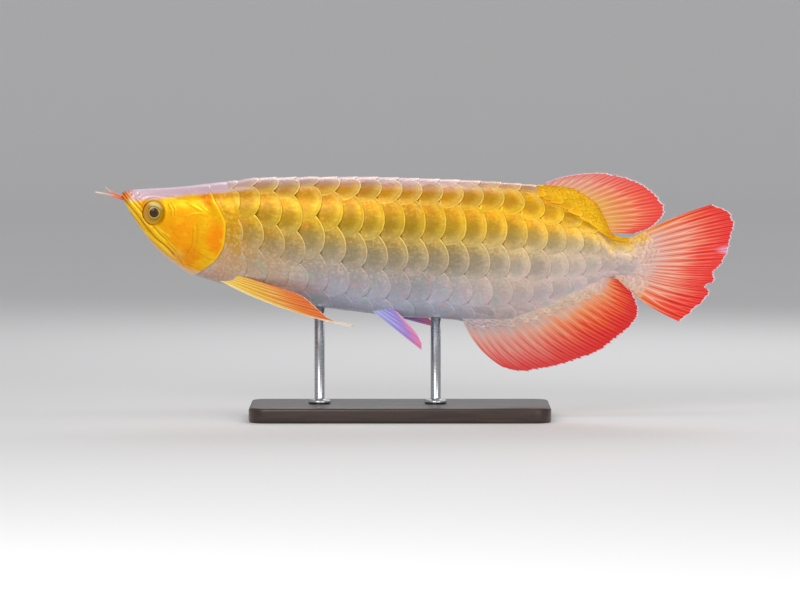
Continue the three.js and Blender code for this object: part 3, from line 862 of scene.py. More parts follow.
@dataclass(frozen=True)
class ScaleFinish:
    """Pearly scales with a bright free edge, over the trunk's markings or colours of their own."""

    name: str = "scales"
    own: Stops | None = None
    into: Stops | None = None
    rim_strength: float = 1.0
    rim_from: float = 0.94
    rim_run: float = 0.035
    shade: float = 0.62
    margin: float = 0.3
    metallic: float = 0.4
    edge: Colour = "#FFF0C8"
    # The darker middle of each scale: partly its own colour, partly painted shade.
    own_middle: Colour = "#E0C494"
    middle_place: Pair = (0.5, 0.64)
    middle_size: Pair = (0.46, 0.34)
    fan_scale: Triple = (17.0, 2.6, 40.0)

    def colours(self, graph: Graph, girth: Value, tone: Value) -> list[Value]:
        """The colours of a scale's face, of its edge and of its darker middle, which is partly painted shade.

        Args:
            graph: the material to draw in.
            girth: the share of the half girth.
            tone: the scale's own random number.

        Returns:
            The three colours.
        """
        if self.own is None:
            markings = Markings()
            place = girth + graph.along.step(*markings.rear_starts) * 0.07
            return [markings.base(graph, girth), place.ramp(markings.rims), place.ramp(markings.middles)]
        base = (girth + tone.line(0.06, -0.03)).ramp(self.own)
        return [base, base.mix(0.55, self.edge), base.mix(1.0, self.own_middle, "MULTIPLY")]

    def build(self) -> Material:
        """Makes the material."""
        graph = Graph(self.name)
        girth, rim, tone, bold = graph.attributes("girth", "rim", "tone", "bold")
        reach, across = graph.map("Plate")
        base, edge, deep = self.colours(graph, girth, tone)
        if self.into is not None:
            fade = graph.attributes("fade")[0]
            base = base.mix(fade, girth.ramp(self.into))
            edge, deep = edge.mix(fade, base), deep.mix(fade, base)
        # Each scale is darker low in its middle and towards its front, under the scale before it: partly its
        # own darker centre, partly painted shade.
        (x, y), (width, depth) = self.middle_place, self.middle_size
        far = distance((reach - x) / width, (across - y) / depth)
        spot = (far + graph.noise(190.0, 4.0).line(1.1, -0.55)).step(1.2, 0.35)
        shade = graph.along.step(330.0, 360.0).line(-0.35, 1.0) * bold.line(self.shade, 0.1)
        colour = base.mix(spot * shade, deep)
        colour = colour.mix(rim.step(0.5, 0.92) * self.margin * bold, edge)
        lift = tone.line(0.2, 0.9)
        colour = colour.mix(1.0, graph.vector(lift, lift, lift), "MULTIPLY")
        strength = bold.line(0.95, 0.03) * self.rim_strength
        strength = strength * graph.noise(130.0).step(0.3, 0.5).line(0.35, 0.65)
        strength = strength * across.step(0.74, 0.88).line(-0.85, 1.0)
        inside = rim.step(0.82, 0.9) * rim.step(0.95, 0.9)
        colour = colour.mix(inside * (bold * 0.25), deep)
        line = rim.step(self.rim_from, self.rim_from + self.rim_run)
        colour = colour.mix(line * strength, edge)
        parts = [part * scale for part, scale in zip((across, reach, tone), self.fan_scale)]
        fans = graph.noise_over(graph.vector(*parts), 1.0)
        colour = colour.mix(fans.step(0.5, 0.68) * reach.step(0.3, 0.7) * 0.16, edge)
        graph.bump(fans, 0.0001, 0.3)
        graph.bump(graph.noise(330.0), 0.0003, 0.35)
        return graph.finish(
            colour, Roughness=graph.noise(260.0).line(0.16, 0.3), Metallic=self.metallic,
            Specular_IOR_Level=0.2, Coat_Weight=0.07, Coat_Roughness=0.15,
        )


@dataclass(frozen=True)
class FinFinish:
    """A fin's web and rays, in two runs of colour from root to tip that meet across the fin."""

    name: str
    first: Stops
    second: Stops
    meets: Pair = (0.2, 0.8)
    from_middle: bool = False
    ray: Colour = "#FFC4A4"
    ray_strength: float = 0.5
    web: Colour = "#8A1408"
    web_strength: float = 0.5
    web_from: Pair = (0.12, 0.4)
    rim: Colour = "#F2DCEA"
    rim_width: float = 1.3
    patch: Tint | None = None
    streak_scale: Pair = (26.0, 2.2)

    def build(self) -> Material:
        """Makes the material."""
        graph = Graph(self.name)
        across, reach = graph.map("Fin")
        ray, gap, edge = graph.attributes("ray", "gap", "edge")
        where = graph.math("ABSOLUTE", across.line(2.0, -1.0)) if self.from_middle else across
        wide, long = self.streak_scale
        streaks = graph.noise_over(graph.vector(across * wide, reach * long, 0.0), 1.0)
        place = reach + streaks.line(0.5, -0.25)
        colour = place.ramp(self.first).mix(where.step(*self.meets), place.ramp(self.second))
        light = ray.step(0.3, 0.9) * (reach.step(0.45, 0.9).line(-0.75, 1.0) * self.ray_strength)
        colour = colour.mix(light, colour.mix(0.55, self.ray))
        deep = gap.step(0.25, 0.9) * reach.step(*self.web_from) * streaks.line(0.9, 0.35)
        colour = colour.mix(deep * self.web_strength, self.web)
        if self.patch is not None:
            mask = graph.spot(self.patch.centre, self.patch.radii) * streaks.step(0.3, 0.6)
            colour = colour.mix(mask * self.patch.strength, self.patch.colour)
        white = (edge + graph.noise(240.0).line(1.6, -0.8)).step(self.rim_width, self.rim_width * 0.45)
        colour = colour.mix(white * 0.9, self.rim)
        graph.bump(graph.math("SINE", reach * 260.0) * ray, 0.00008, 0.4)
        graph.bump(graph.noise(260.0), 0.0002, 0.4)
        return graph.finish(
            colour, Roughness=0.45, Specular_IOR_Level=0.2, Coat_Weight=0.06, Coat_Roughness=0.25,
            Subsurface_Weight=0.15, Subsurface_Radius=(0.005, 0.0015, 0.001), Subsurface_Scale=1.0,
        )


@dataclass(frozen=True)
class EyeFinish:
    """A glossy eye: dark pupil, thin gold ring and olive iris, with a painted pale green sheen along its
    upper edge.
    """

    centre: Pair
    size: float = 10.0
    rings: Stops = (
        (0.0, "#33240A"), (0.34, "#3C2A08"), (0.375, "#2A1A04"), (0.395, "#DCB450"), (0.44, "#C09430"),
        (0.48, "#80600C"), (0.6, "#9C760C"), (0.76, "#BE8E10"), (0.9, "#D6A018"), (1.0, "#D0960E"),
    )

    def build(self) -> Material:
        """Makes the material."""
        graph = Graph("eye")
        x, z = graph.along - self.centre[0], graph.height - self.centre[1]
        share = distance(x, z) / self.size
        fibres = graph.noise_over(graph.vector(graph.math("ARCTAN2", z, x), share, 0.0), 9.0)
        layers = (
            (share.step(0.42, 0.5) * fibres.step(0.45, 0.65), 0.3, "#D0AC40"),
            # Painted sheen: a pale green highlight along the upper edge of the iris.
            (x.line(0.35, z).step(3.0, 7.0) * share.step(0.46, 0.6), 0.8, "#E2DC94"),
            (x.step(-2.5, -6.0) * share.step(0.45, 0.6), 0.65, "#D08E38"),
            (x.step(3.0, 6.0) * z.step(4.0, 0.0), 0.5, "#B89C14"),
        )
        colour = share.ramp(self.rings)
        for mask, strength, layer in layers:
            colour = colour.mix(mask * strength, layer)
        return graph.finish(
            colour, Roughness=0.3, Specular_IOR_Level=0.15, Coat_Weight=0.3, Coat_Roughness=0.02
        )


@dataclass(frozen=True)
class BarbelFinish:
    """A soft feeler, orange-red at its root and pale at its tip."""

    stops: Stops = ((0.0, "#F6EDE2"), (0.3, "#F0C8B4"), (0.62, "#EC8258"), (0.9, "#E2542A"))
    reach: float = 24.0
    past_snout: float = 21.0

    def build(self) -> Material:
        """Makes the material."""
        graph = Graph("barbel")
        colour = graph.along.line(1.0 / self.reach, self.past_snout / self.reach).ramp(self.stops)
        graph.bump(graph.noise(900.0), 0.0001)
        return graph.finish(
            colour, Roughness=0.35, Coat_Weight=0.4, Subsurface_Weight=0.2,
            Subsurface_Radius=(0.003, 0.001, 0.001), Subsurface_Scale=1.0,
        )


@dataclass(frozen=True)
class WoodFinish:
    """Dark oiled wood with long grain."""

    rings: Stops = ((0.3, "#1C110B"), (0.5, "#38231A"), (0.62, "#29190F"), (0.75, "#442C1F"))
    pores: Colour = "#150C07"

    def build(self) -> Material:
        """Makes the material."""
        graph = Graph("base_wood")
        rings = graph.noise(34.0, 5.0, (0.35, 4.0, 4.0))
        pores = graph.noise(420.0, 3.0, (0.06, 1.0, 1.0))
        colour = rings.ramp(self.rings).mix(pores.step(0.55, 0.7) * 0.5, self.pores)
        graph.bump(pores, 0.00015, 0.6)
        return graph.finish(colour, Roughness=rings.line(0.2, 0.26), Coat_Weight=0.3, Coat_Roughness=0.25)


@dataclass(frozen=True)
class SteelFinish:
    """Brushed steel, with its brushing round the rod."""

    dark: Colour = "#B2B5B8"
    light: Colour = "#C2C5C8"

    def build(self) -> Material:
        """Makes the material."""
        graph = Graph("rod_steel")
        brushing = graph.noise(1600.0, 2.0, (0.05, 0.05, 1.0))
        colour = graph.mix(brushing, self.dark, self.light)
        return graph.finish(colour, Roughness=brushing.line(0.12, 0.22), Metallic=1.0)


@dataclass(frozen=True)
class Crease:
    """A raised or sunken line of the head, along a path seen from the side.

    A height under 0 cuts in. The line fades over the given share of its length at each end.
    """

    path: Line
    width: float
    height: float
    fade: float = 0.15

    def distance(self, along: Array, height: Array) -> tuple[Array, Array]:
        """How far each place is from the path.

        Args:
            along: distances behind the snout.
            height: heights over the axis.

        Returns:
            The distance, over 0 on the path's left and under 0 on its right, and the share of the
            path's length.
        """
        line = spline(np.array(self.path, float), np.linspace(0.0, 1.0, 48))
        x, z = along[..., None] - line[:, 0], height[..., None] - line[:, 1]
        apart = np.hypot(x, z)
        nearest = apart.argmin(axis=-1)[..., None]
        x, z, apart = (np.take_along_axis(part, nearest, axis=-1)[..., 0] for part in (x, z, apart))
        heading = np.gradient(line, axis=0)[nearest[..., 0]]
        left = heading[..., 0] * z - heading[..., 1] * x
        return np.where(left > 0, apart, -apart), nearest[..., 0] / (len(line) - 1)

    def lift(self, along: Array, height: Array) -> Array:
        """How far the crease lifts each place of the head's side."""
        apart, share = self.distance(along, height)
        ends = smooth(share, -0.01, self.fade) * smooth(1.0 - share, -0.01, self.fade)
        return self.height * ends * bell(apart, self.width)


@dataclass
class Skin:
    """The one skin of head and trunk, with the head's forms raised and cut in it."""

    girth_steps: int = 150
    head_steps: int = 158
    trunk_steps: int = 84
    crowding: float = 1.12
    depth: float = 0.8
    cover_rise: float = 1.15
    behind_cover: tuple[float, ...] = (0.25, 1.0, 2.2, 3.6, 5.2, 7.0, 9.0, 11.0, 13.5, 16.0)
    usual_relief: float = 0.6
    eye: Pair = (26.2, 26.2)
    eye_radii: Pair = (8.5, 9.6)
    lid_rise: float = 0.5
    socket_depth: float = 4.2
    nostrils: tuple[Triple, ...] = ((8.0, 41.0, 0.9), (13.5, 41.0, 1.15))
    nostril_depth: float = 1.2
    nostril_rim: float = 0.35
    mouth: Crease = Crease(((-1, 39.6), (12, 25), (24, 9.6), (36.8, -1.6), (43, -8)), 0.65, -1.0, fade=0.06)
    creases: tuple[Crease, ...] = (
        Crease(((3.4, 38.6), (12.5, 28.4), (22, 16.4), (31, 6.4), (38, 0.6)), 1.3, 0.75),
        Crease(((6.4, 37.4), (14.6, 28), (23.6, 17.4), (32.6, 8.4), (40, 3)), 0.6, -0.4),
        Crease(((8, 37.8), (16, 29.2), (24.6, 19.6), (33.6, 11), (42, 6)), 0.65, 0.45),
        Crease(((2.2, 35.2), (11, 23.6), (22.5, 8.7), (33, -1.6), (42, -10)), 0.9, 0.6),
        Crease(((3.4, 31.8), (11.6, 20.6), (21.8, 7), (32, -4), (42, -12.8)), 0.5, -0.35),
        Crease(((7, 38.5), (11, 34.6), (15.4, 30.6)), 0.55, 0.3),
        Crease(((11.6, 38.4), (15.4, 34.6), (18, 32)), 0.5, 0.25),
        Crease(((36, 36.2), (44, 36.6), (52, 36), (58, 32.4), (64, 28.6), (70.5, 24.4)), 1.1, 0.28, 0.4),
        Crease(((59, 35), (65, 31.2), (71, 27)), 0.5, 0.2, 0.35),
        Crease(((48, 22.6), (57, 25.2), (65, 25.8), (72, 23.6)), 0.7, 0.22, 0.4),
        Crease(((14, 36.4), (19, 39), (27, 40.2), (36, 38.8), (46, 38.4)), 0.9, 0.3),
        Crease(((57.3, 18), (57.2, 7), (56.8, 1), (53.4, -5), (50.4, -11)), 0.5, -0.35),
        Crease(((58.9, 19), (59.1, 7), (58.6, 1), (55.8, -5.5)), 0.5, 0.22),
        Crease(((60.4, 20), (60.8, 9), (60.4, 2), (58, -5)), 0.5, -0.3),
        Crease(((62.6, 17), (63.2, 8), (62.6, 1)), 0.5, 0.2),
        Crease(((38, 16), (42, 10), (46, 6)), 0.5, -0.25),
        Crease(((60.5, -4), (67, -9), (75, -11), (80, -8)), 0.55, -0.35),
        Crease(((50, -14), (58, -17.4), (67, -20), (73, -19)), 0.6, -0.35),
        Crease(((43, -8), (47, -12), (50, -18)), 0.6, -0.35),
        Crease(((38, 34), (41, 29), (41.4, 23)), 0.5, 0.25),
        Crease(((39.6, 36), (43.4, 30), (43.6, 24)), 0.45, 0.2),
    )

    def head_form(self, along: Array, height: Array) -> tuple[Array, Array]:
        """The lift of the head's forms, and the same as a share of what is usual.

        Args:
            along: distances behind the snout.
            height: heights over the axis.

        Returns:
            The lift and the relief at each place.
        """
        lift = sum(crease.lift(along, height) for crease in (self.mouth, *self.creases))
        relief = np.clip(lift / self.usual_relief, -1.0, 1.0)
        (x, z), (wide, high) = self.eye, self.eye_radii
        reach = np.hypot((along - x) / wide, (height - z) / high)
        clear = smooth(reach, 1.0, 1.14)
        lift = lift * clear + self.lid_rise * bell(reach - 1.17, 0.09)
        lift = lift - self.socket_depth * (1 - smooth(reach, 0.94, 1.08))
        relief = relief * clear - 0.2 * bell(reach - 1.05, 0.05)
        for x, z, radius in self.nostrils:
            away = np.hypot(along - x, height - z)
            rim = self.nostril_rim * bell(away - 1.7 * radius, 0.5 * radius)
            lift = lift - self.nostril_depth * bell(away, radius) + rim
            relief = relief - 0.9 * bell(away, radius)
        return lift, relief

    def build(self, finish: Material) -> Piece:
        """Lofts the skin from the snout to the tail's root and closes both its ends.

        Args:
            finish: the skin's material.

        Returns:
            The piece.
        """
        girth = np.linspace(0.0, 1.0, self.girth_steps + 1)[None, :]
        gill = GILL_EDGE(girth)
        share = (np.arange(self.head_steps + 1) / self.head_steps)[:, None] ** self.crowding
        tail = lerp(TAIL_ROOT[0], TAIL_ROOT[1], np.sin(math.pi * girth))
        near = gill + np.array(self.behind_cover)[:, None]
        start = near[-1:]
        steps = (np.arange(1, self.trunk_steps + 1) / self.trunk_steps)[:, None]
        along = joined([share * gill, near, start + (tail - start) * steps])
        girth = np.broadcast_to(girth, along.shape)
        front = slice(0, len(share))
        on_head = (np.arange(len(along)) < len(share))[:, None] * np.ones_like(along)
        form, relief = self.head_form(along, BODY.read(BODY.up, along, girth))
        open_side = smooth(girth, 0.1, 0.24)
        past = along - gill
        lift = np.where(on_head > 0, form, 0.0)
        shares = np.broadcast_to(share, lift[front].shape)
        lift[front] += self.cover_rise * smooth(shares, 0.86, 1.0) * open_side[front]
        nape = (1 - smooth(past, 0.0, 16.0)) * (1 - smooth(girth, 0.17, 0.26))
        rim = np.zeros_like(along)
        rim[front] = smooth(past[front], -2.2, -1.3) * open_side[front] * smooth(girth[:1], 0.86, 0.74)
        lift += np.where(on_head > 0, 0.0, -0.35 * open_side * (1 - smooth(past, 2.0, 6.0)))
        lift -= self.depth * smooth(along - COAT_START(girth), -2.0, 3.0) * (1 - on_head)
        jaw = self.mouth.distance(along, BODY.read(BODY.up, along, girth))[0]

        inner = slice(1, self.girth_steps)
        sides = [(LEFT, slice(None)), (RIGHT, inner)]
        halves = [BODY.point(along[:, s], girth[:, s], side, lift[:, s]) for side, s in sides]
        rings = joined([halves[0], halves[1][:, ::-1]], axis=1)
        points, faces = ringed(rings, rings[[0, -1]].mean(axis=1))
        piece = make_piece("skin", points, faces, finish)
        kept = {
            "girth": girth, "relief": relief * on_head, "head": np.maximum(on_head, nape),
            "jaw": np.clip(jaw, -20.0, 20.0), "cover": rim,
        }
        for name, values in kept.items():
            full = joined([values, values[:, inner][:, ::-1]], axis=1)
            add_values(piece, **{name: joined([full.ravel(), full[0, :1], full[-1, :1]])})
        return piece


@dataclass(frozen=True)
class Plate:
    """One scale, in columns along and rows across, with a straight hidden root and a round edge."""

    across: int = 12
    steps: tuple[float, ...] = (0.0, 0.22, 0.42, 0.6, 0.75, 0.87, 0.95, 1.0)
    front: float = -0.4
    middle: float = -0.1
    reach: float = 1.1
    half_width: float = 0.68

    def build(self) -> Piece:
        """Makes the scale that the lattices repeat. Its two faces lie at 1 and -1."""
        q = -np.cos(math.pi * np.arange(self.across + 1) / self.across)
        edge = self.middle + self.reach * np.sqrt(np.clip(1.0 - q * q, 0.0, 1.0))
        p = lerp(self.front, edge[None, :], np.array(self.steps)[:, None])
        sheet = together(p, np.broadcast_to(q * self.half_width, p.shape), np.ones_like(p))
        points = joined([sheet.reshape(-1, 3), (sheet * (1, 1, -1)).reshape(-1, 3)])
        mesh = bpy.data.meshes.new("plate")
        mesh.from_pydata(points.tolist(), [], sheet_faces(*p.shape).tolist())
        return bpy.data.objects.new("plate", mesh)

    def rim(self, p: Array, q: Array) -> Array:
        """How near a place is to the free edge: 1 on it, and less inside."""
        forward = np.maximum(p - self.middle, 0.0) / self.reach
        return np.hypot(forward, q / self.half_width)


SMALL_PLATE = Plate(across=6, steps=(0.0, 0.4, 0.75, 1.0))


@dataclass(frozen=True)
class Lattice:
    """How plates are set out: how many, where the first of them is, and how evenly."""

    columns: int
    rows: int
    first_column: float
    first_row: float
    stagger: float = 0.0
    jitter: float = 0.0
    seed: int = 1


@dataclass
class Plates:
    """The plates of one lattice: their points, faces, and each point's root and tone."""

    points: Array
    faces: Array
    roots: Array
    tones: Array


class PlateTree(Tree):
    """The node tree that sets plates out in columns and rows, one unit apart."""

    TONE_SEED = 7.0

    def __init__(self) -> None:
        """Builds the tree, with an input for the plate, its finish and each measure of a lattice."""
        self.group = bpy.data.node_groups.new("plate_lattice", "GeometryNodeTree")
        super().__init__(self.group)
        kinds = {part.name: {int: "Int", float: "Float"}[part.type] for part in fields(Lattice)}
        kinds.update(plate="Object", material="Material")
        face = self.group.interface
        face.new_socket("Geometry", in_out="INPUT", socket_type="NodeSocketGeometry")
        self.sockets = {
            name: face.new_socket(name, in_out="INPUT", socket_type=f"NodeSocket{kind}").identifier
            for name, kind in kinds.items()
        }
        face.new_socket("Geometry", in_out="OUTPUT", socket_type="NodeSocketGeometry")
        outputs = self.nodes.new("NodeGroupInput").outputs
        given = {name: Value(self, outputs[name]) for name in kinds}
        place = self.get("GeometryNodeInputPosition", {})
        wide, deep = given["columns"] - 1.0, given["rows"] - 1.0
        grid = self.get("GeometryNodeMeshGrid", {
            "Vertices X": given["columns"], "Vertices Y": given["rows"], "Size X": wide, "Size Y": deep,
        }, "Mesh")
        corner = self.moved(grid, self.vector(wide * 0.5, deep * 0.5))
        odd = self.math("MODULO", self.math("ROUND", self.parts(place)[1]), 2.0)
        start = self.vector(given["first_column"] + odd * given["stagger"], given["first_row"])
        most, least = given["jitter"], given["jitter"] * -1.0
        wobble = self.get("FunctionNodeRandomValue", {
            "Min": self.vector(least, least), "Max": self.vector(most, most), "Seed": given["seed"],
        }, data_type="FLOAT_VECTOR")
        shift = self.get("ShaderNodeVectorMath", {0: start, 1: wobble}, operation="ADD")
        rooted = self.stored(self.moved(corner, shift), "root", place, "FLOAT_VECTOR")
        seed = given["seed"] + self.TONE_SEED
        random = self.get("FunctionNodeRandomValue", {"Seed": seed}, 1, data_type="FLOAT")
        toned = self.stored(rooted, "tone", random, "FLOAT")
        plate = self.get("GeometryNodeObjectInfo", {"Object": given["plate"]}, "Geometry")
        copies = self.get("GeometryNodeInstanceOnPoints", {"Points": toned, "Instance": plate})
        real = self.get("GeometryNodeRealizeInstances", {"Geometry": copies})
        dressed = self.get("GeometryNodeSetMaterial", {"Geometry": real, "Material": given["material"]})
        self.fill(self.nodes.new("NodeGroupOutput").inputs, {0: dressed})

    def moved(self, geometry: Value, offset: Value) -> Value:
        """A geometry whose points are moved."""
        return self.get("GeometryNodeSetPosition", {"Geometry": geometry, "Offset": offset})

    def stored(self, geometry: Value, name: str, value: Value, kind: str) -> Value:
        """A geometry that keeps a value for each of its points."""
        inputs = {"Geometry": geometry, "Name": name, "Value": value}
        return self.get("GeometryNodeStoreNamedAttribute", inputs, data_type=kind, domain="POINT")

    def set_out(self, plate: Piece, lattice: Lattice, material: Material) -> Plates:
        """Runs the tree on one lattice.

        Args:
            plate: the scale to repeat.
            lattice: how the scales are set out.
            material: their finish.

        Returns:
            The plates, flat, one unit apart.
        """
        holder = show("lattice", bpy.data.meshes.new("lattice"))
        modifier = holder.modifiers.new("plates", "NODES")
        modifier.node_group = self.group
        for name, value in {**asdict(lattice), "plate": plate, "material": material}.items():
            modifier[self.sockets[name]] = value
        graph = bpy.context.evaluated_depsgraph_get()
        mesh = bpy.data.meshes.new_from_object(holder.evaluated_get(graph), depsgraph=graph)
        plates = Plates(
            numbers(mesh.vertices, "co", 3),
            numbers(mesh.loops, "vertex_index", kind=np.int32).reshape(-1, 4),
            numbers(mesh.attributes["root"].data, "vector", 3),
            numbers(mesh.attributes["tone"].data, "value"),
        )
        bpy.data.objects.remove(holder)
        bpy.data.meshes.remove(mesh)
        return plates


@dataclass
class Laid:
    """Plates laid over a surface, with their roots' places in the unwrap."""

    points: Array
    girth: Array
    places: Array
    bold: Array
    fade: Array


Layer = Callable[[Array, Array, Array], Laid]


@dataclass
class Coat:
    """A field of solid scales: a lattice of plates laid over a surface of the fish."""

    name: str
    lattice: Lattice
    layer: Layer
    plate: Plate = field(default_factory=Plate)
    sunk: float = -0.85
    raised: float = 0.62
    overlap: float = 0.07
    dome: float = 0.06
    tilt: float = 0.14
    thickness: float = 0.16
    patch: Pair = (0.9, 0.9)

    def build(self, tree: PlateTree, finish: Material) -> Piece:
        """Sets the plates out, lays them over the surface and maps them.

        Args:
            tree: the node tree that repeats the plate.
            finish: the scales' material.

        Returns:
            The piece.
        """
        single = self.plate.build()
        plates = tree.set_out(single, self.lattice, finish)
        bpy.data.objects.remove(single)
        flat, root = plates.points, plates.roots
        p, q = flat[:, 0] - root[:, 0], flat[:, 1] - root[:, 1]
        far = self.plate.middle + self.plate.reach
        share = (p - self.plate.front) / (far - self.plate.front)
        width = q / self.plate.half_width
        rim = self.plate.rim(p, q)
        curve = self.dome * (1 - width**2) * np.sin(math.pi * np.clip(share, 0, 1))
        tilt = (plates.tones - 0.5) * self.tilt * width
        lift = lerp(self.sunk, self.raised, share) + self.overlap * width + curve + tilt
        lift += flat[:, 2] * self.thickness * (1 - 0.7 * smooth(rim, 0.93, 1.0))
        laid = self.layer(flat, root, lift)
        piece = make_piece(self.name, laid.points, [plates.faces], finish)
        add_values(piece, girth=laid.girth, rim=rim, tone=plates.tones, bold=laid.bold, fade=laid.fade)
        add_map(piece, "Plate", together(share, 0.5 + 0.5 * width))
        self.add_bake_map(piece, flat, laid.places, together(share - 0.5, 0.5 * width))
        return piece

    def add_bake_map(self, piece: Piece, flat: Array, places: Array, local: Array) -> None:
        """Gives each scale a patch of its own round its root's place on an unwrap of the skin.

        Args:
            piece: the coat.
            flat: the plates' points before they were laid.
            places: the root's place in the unwrap for each point.
            local: each point's place on its scale, from -0.5 to 0.5.
        """
        faces = numbers(piece.data.loops, "vertex_index", kind=np.int32).reshape(-1, 4)
        upper = (flat[faces, 2] > 0).all(axis=1)[:, None]
        size = np.where(upper, 1.0, 0.08)[:, :, None] * np.array(self.patch)
        corner = np.where(upper, 0.0, -0.54)[:, :, None] * np.array(self.patch)
        add_map(piece, "OFBake", (places[faces] + local[faces] * size + corner).reshape(-1, 2))


@dataclass
class Flank:
    """The large scales' columns and rows over the body."""

    first_column: float = 84.7
    column_length: float = 16.28
    shortening: float = 0.6
    shortens_after: float = 15.0
    last_column: float = 20.0
    slant: float = 0.15
    slant_lost: float = 0.6
    rows_change: Pair = (300.0, 380.0)
    level: float = -0.4
    front_shifts: tuple[float, ...] = (-0.3, -0.33, -0.11, 0.02, -0.42, -0.18, -0.04)
    front_rows: Profile = field(default_factory=lambda: Profile([
        (-0.5, 0), (0, 0.08), (1, 0.232), (2, 0.453), (3, 0.657), (4, 0.84), (5, 1),
    ]))
    rear_rows: Profile = field(default_factory=lambda: Profile([
        (-0.5, 0), (0, 0.18), (1, 0.37), (2, 0.58), (3, 0.78), (4, 0.92), (5, 1),
    ]))

    def along(self, column: Array, row: Array) -> Array:
        """The distance behind the snout of a place in columns and rows."""
        lost = smooth(column, self.shortens_after, self.last_column)
        moved = column + self.slant * (1 - self.slant_lost * lost) * (row + 1)
        late = np.maximum(0.0, moved - self.shortens_after)
        return self.first_column + self.column_length * moved - self.shortening * late**2 / 2

    def girth(self, along: Array, row: Array) -> Array:
        """The share of the half girth of a row's place. A row under -0.5 lies on the other side."""
        change = smooth(along, *self.rows_change)
        folded = np.where(row < -0.5, -1.0 - row, row)
        share = lerp(self.front_rows(folded), self.rear_rows(folded), change)
        return np.where(row < -0.5, -share, share)

    def boldness(self, along: Array, girth: Array) -> Array:
        """How strongly scales stand out: fully above, and little on the front's lower side.

        Args:
            along: distances behind the snout.
            girth: shares of the half girth.

        Returns:
            The strength at each place, from 0 to 1.
        """
        low = smooth(girth, 0.48, 0.8)
        front = 1 - smooth(along, 110.0, 200.0)
        rear = smooth(along, 280.0, 360.0)
        bold = 1 - low * (0.76 + 0.14 * front - 0.42 * rear)
        bold = bold * (1 - 0.4 * front * smooth(girth, 0.4, 0.56))
        bold = bold * (0.65 + 0.35 * smooth(along, 90.0, 112.0))
        return bold * (1 - 0.5 * smooth(along, 370.0, 400.0))

    def sunk(self, along: Array, girth: Array) -> Array:
        """How far the scales sink away at the gills, under smaller scales and at the anal fin.

        Args:
            along: distances behind the snout.
            girth: shares of the half girth.

        Returns:
            The depth at each place.
        """
        gills = 1.1 * (1 - smooth(along - COAT_START(girth), -9.0, 2.0))
        height = BODY.read(BODY.up, along, girth)
        smaller = 1.3 * smooth(height - MEDIUM_EDGE(along), -2.0, 2.0) * smooth(along, 326.0, 337.0)
        return gills + smaller + 0.9 * smooth(girth, 0.82, 0.97) * smooth(along, 262.0, 290.0)

    def layer(self, side: int) -> Layer:
        """A function that lays plates over one flank.

        Args:
            side: LEFT or RIGHT.

        Returns:
            The function.
        """
        shifts = np.array(self.front_shifts)

        def lay(flat: Array, root: Array, lift: Array) -> Laid:
            """Lays plates by their points, roots and lifts."""
            column = np.rint(root[:, 0]).astype(int) + 1
            known = column < len(shifts)
            shift = np.where(known, shifts[np.clip(column, 0, len(shifts) - 1)], 0.0)
            row = flat[:, 1] + shift * (1 - smooth(flat[:, 1], 2.5, 4.5)) * (root[:, 1] > 0)
            row = np.minimum(row, 4.98)
            along = self.along(flat[:, 0], row)
            girth = self.girth(along, row)
            small = np.clip(self.length_at(root[:, 0]) / self.column_length, 0.3, 1.0)
            bold = self.boldness(along, np.abs(girth))
            lift = lerp(self.level, lift * small, 0.07 + 0.93 * bold)
            lift = lift - self.sunk(along, np.abs(girth))
            points = BODY.point(along, girth, side, lift)
            root_along = self.along(root[:, 0], root[:, 1])
            places = together(0.02 + 0.96 * root_along / BODY.length, 0.1 + 0.17 * root[:, 1])
            return Laid(points, np.abs(girth), places, bold, np.zeros_like(bold))

        return lay

    def length_at(self, column: Array) -> Array:
        """How long a column is."""
        return self.column_length - self.shortening * np.maximum(0.0, column - self.shortens_after)


SMALL_UPPER = (
    (331, 48.4), (339, 48), (347, 47.6), (358, 46.2), (369, 41.2), (380, 33), (386, 22), (391, 11),
    (399, 6.6), (409, 6.3),
)
SMALL_LOWER = (
    (331, 45.6), (338, 43), (346, 39.8), (355, 36.4), (364, 31.4), (372, 24.6), (379, 17.2), (386, 10),
    (394, 5), (407, 3.8),
)
MEDIUM_LOWER = (
    (329, 40), (338, 36), (347, 31.6), (361, 24), (374, 16.8), (383, 10), (392, 4.4), (405, 1.6),
)
MEDIUM_EDGE = Profile(MEDIUM_LOWER)


@dataclass
class ScalePatch:
    """A patch of smaller scales between two lines seen from the side."""

    upper: Line
    lower: Line
    columns: int
    rows: int
    bold: float = 0.8
    depth: float = 1.0

    def layer(self, side: int) -> Layer:
        """A function that lays plates over the patch.

        Args:
            side: LEFT or RIGHT.

        Returns:
            The function. Columns run along the fish and rows run down.
        """

        def lay(flat: Array, root: Array, lift: Array) -> Laid:
            """Lays plates by their points, roots and lifts."""
            share = flat[:, 0] / (self.columns + 0.8)
            depth = self.depth * np.maximum(flat[:, 1] / self.rows, -0.2)
            ends = [spline(np.array(line, float), share) for line in (self.upper, self.lower)]
            place = lerp(ends[0], ends[1], depth[:, None])
            girth = BODY.girth_at(place[:, 0], place[:, 1])
            lift = lift - 0.8 * (1 - smooth(flat[:, 0], -0.3, 1.5))
            points = BODY.point(place[:, 0], girth, side, lift)
            places = 0.03 + 0.94 * root[:, :2] / (self.columns + 1, self.rows + 1)
            bold = np.full_like(share, self.bold)
            return Laid(points, girth, places, bold, np.zeros_like(share))

        return lay


class Lay(Enum):
    """How a fin's plane lies in the model."""

    MEDIAN = "in the fish's middle plane"
    PAIRED = "at one side, turned by two directions"


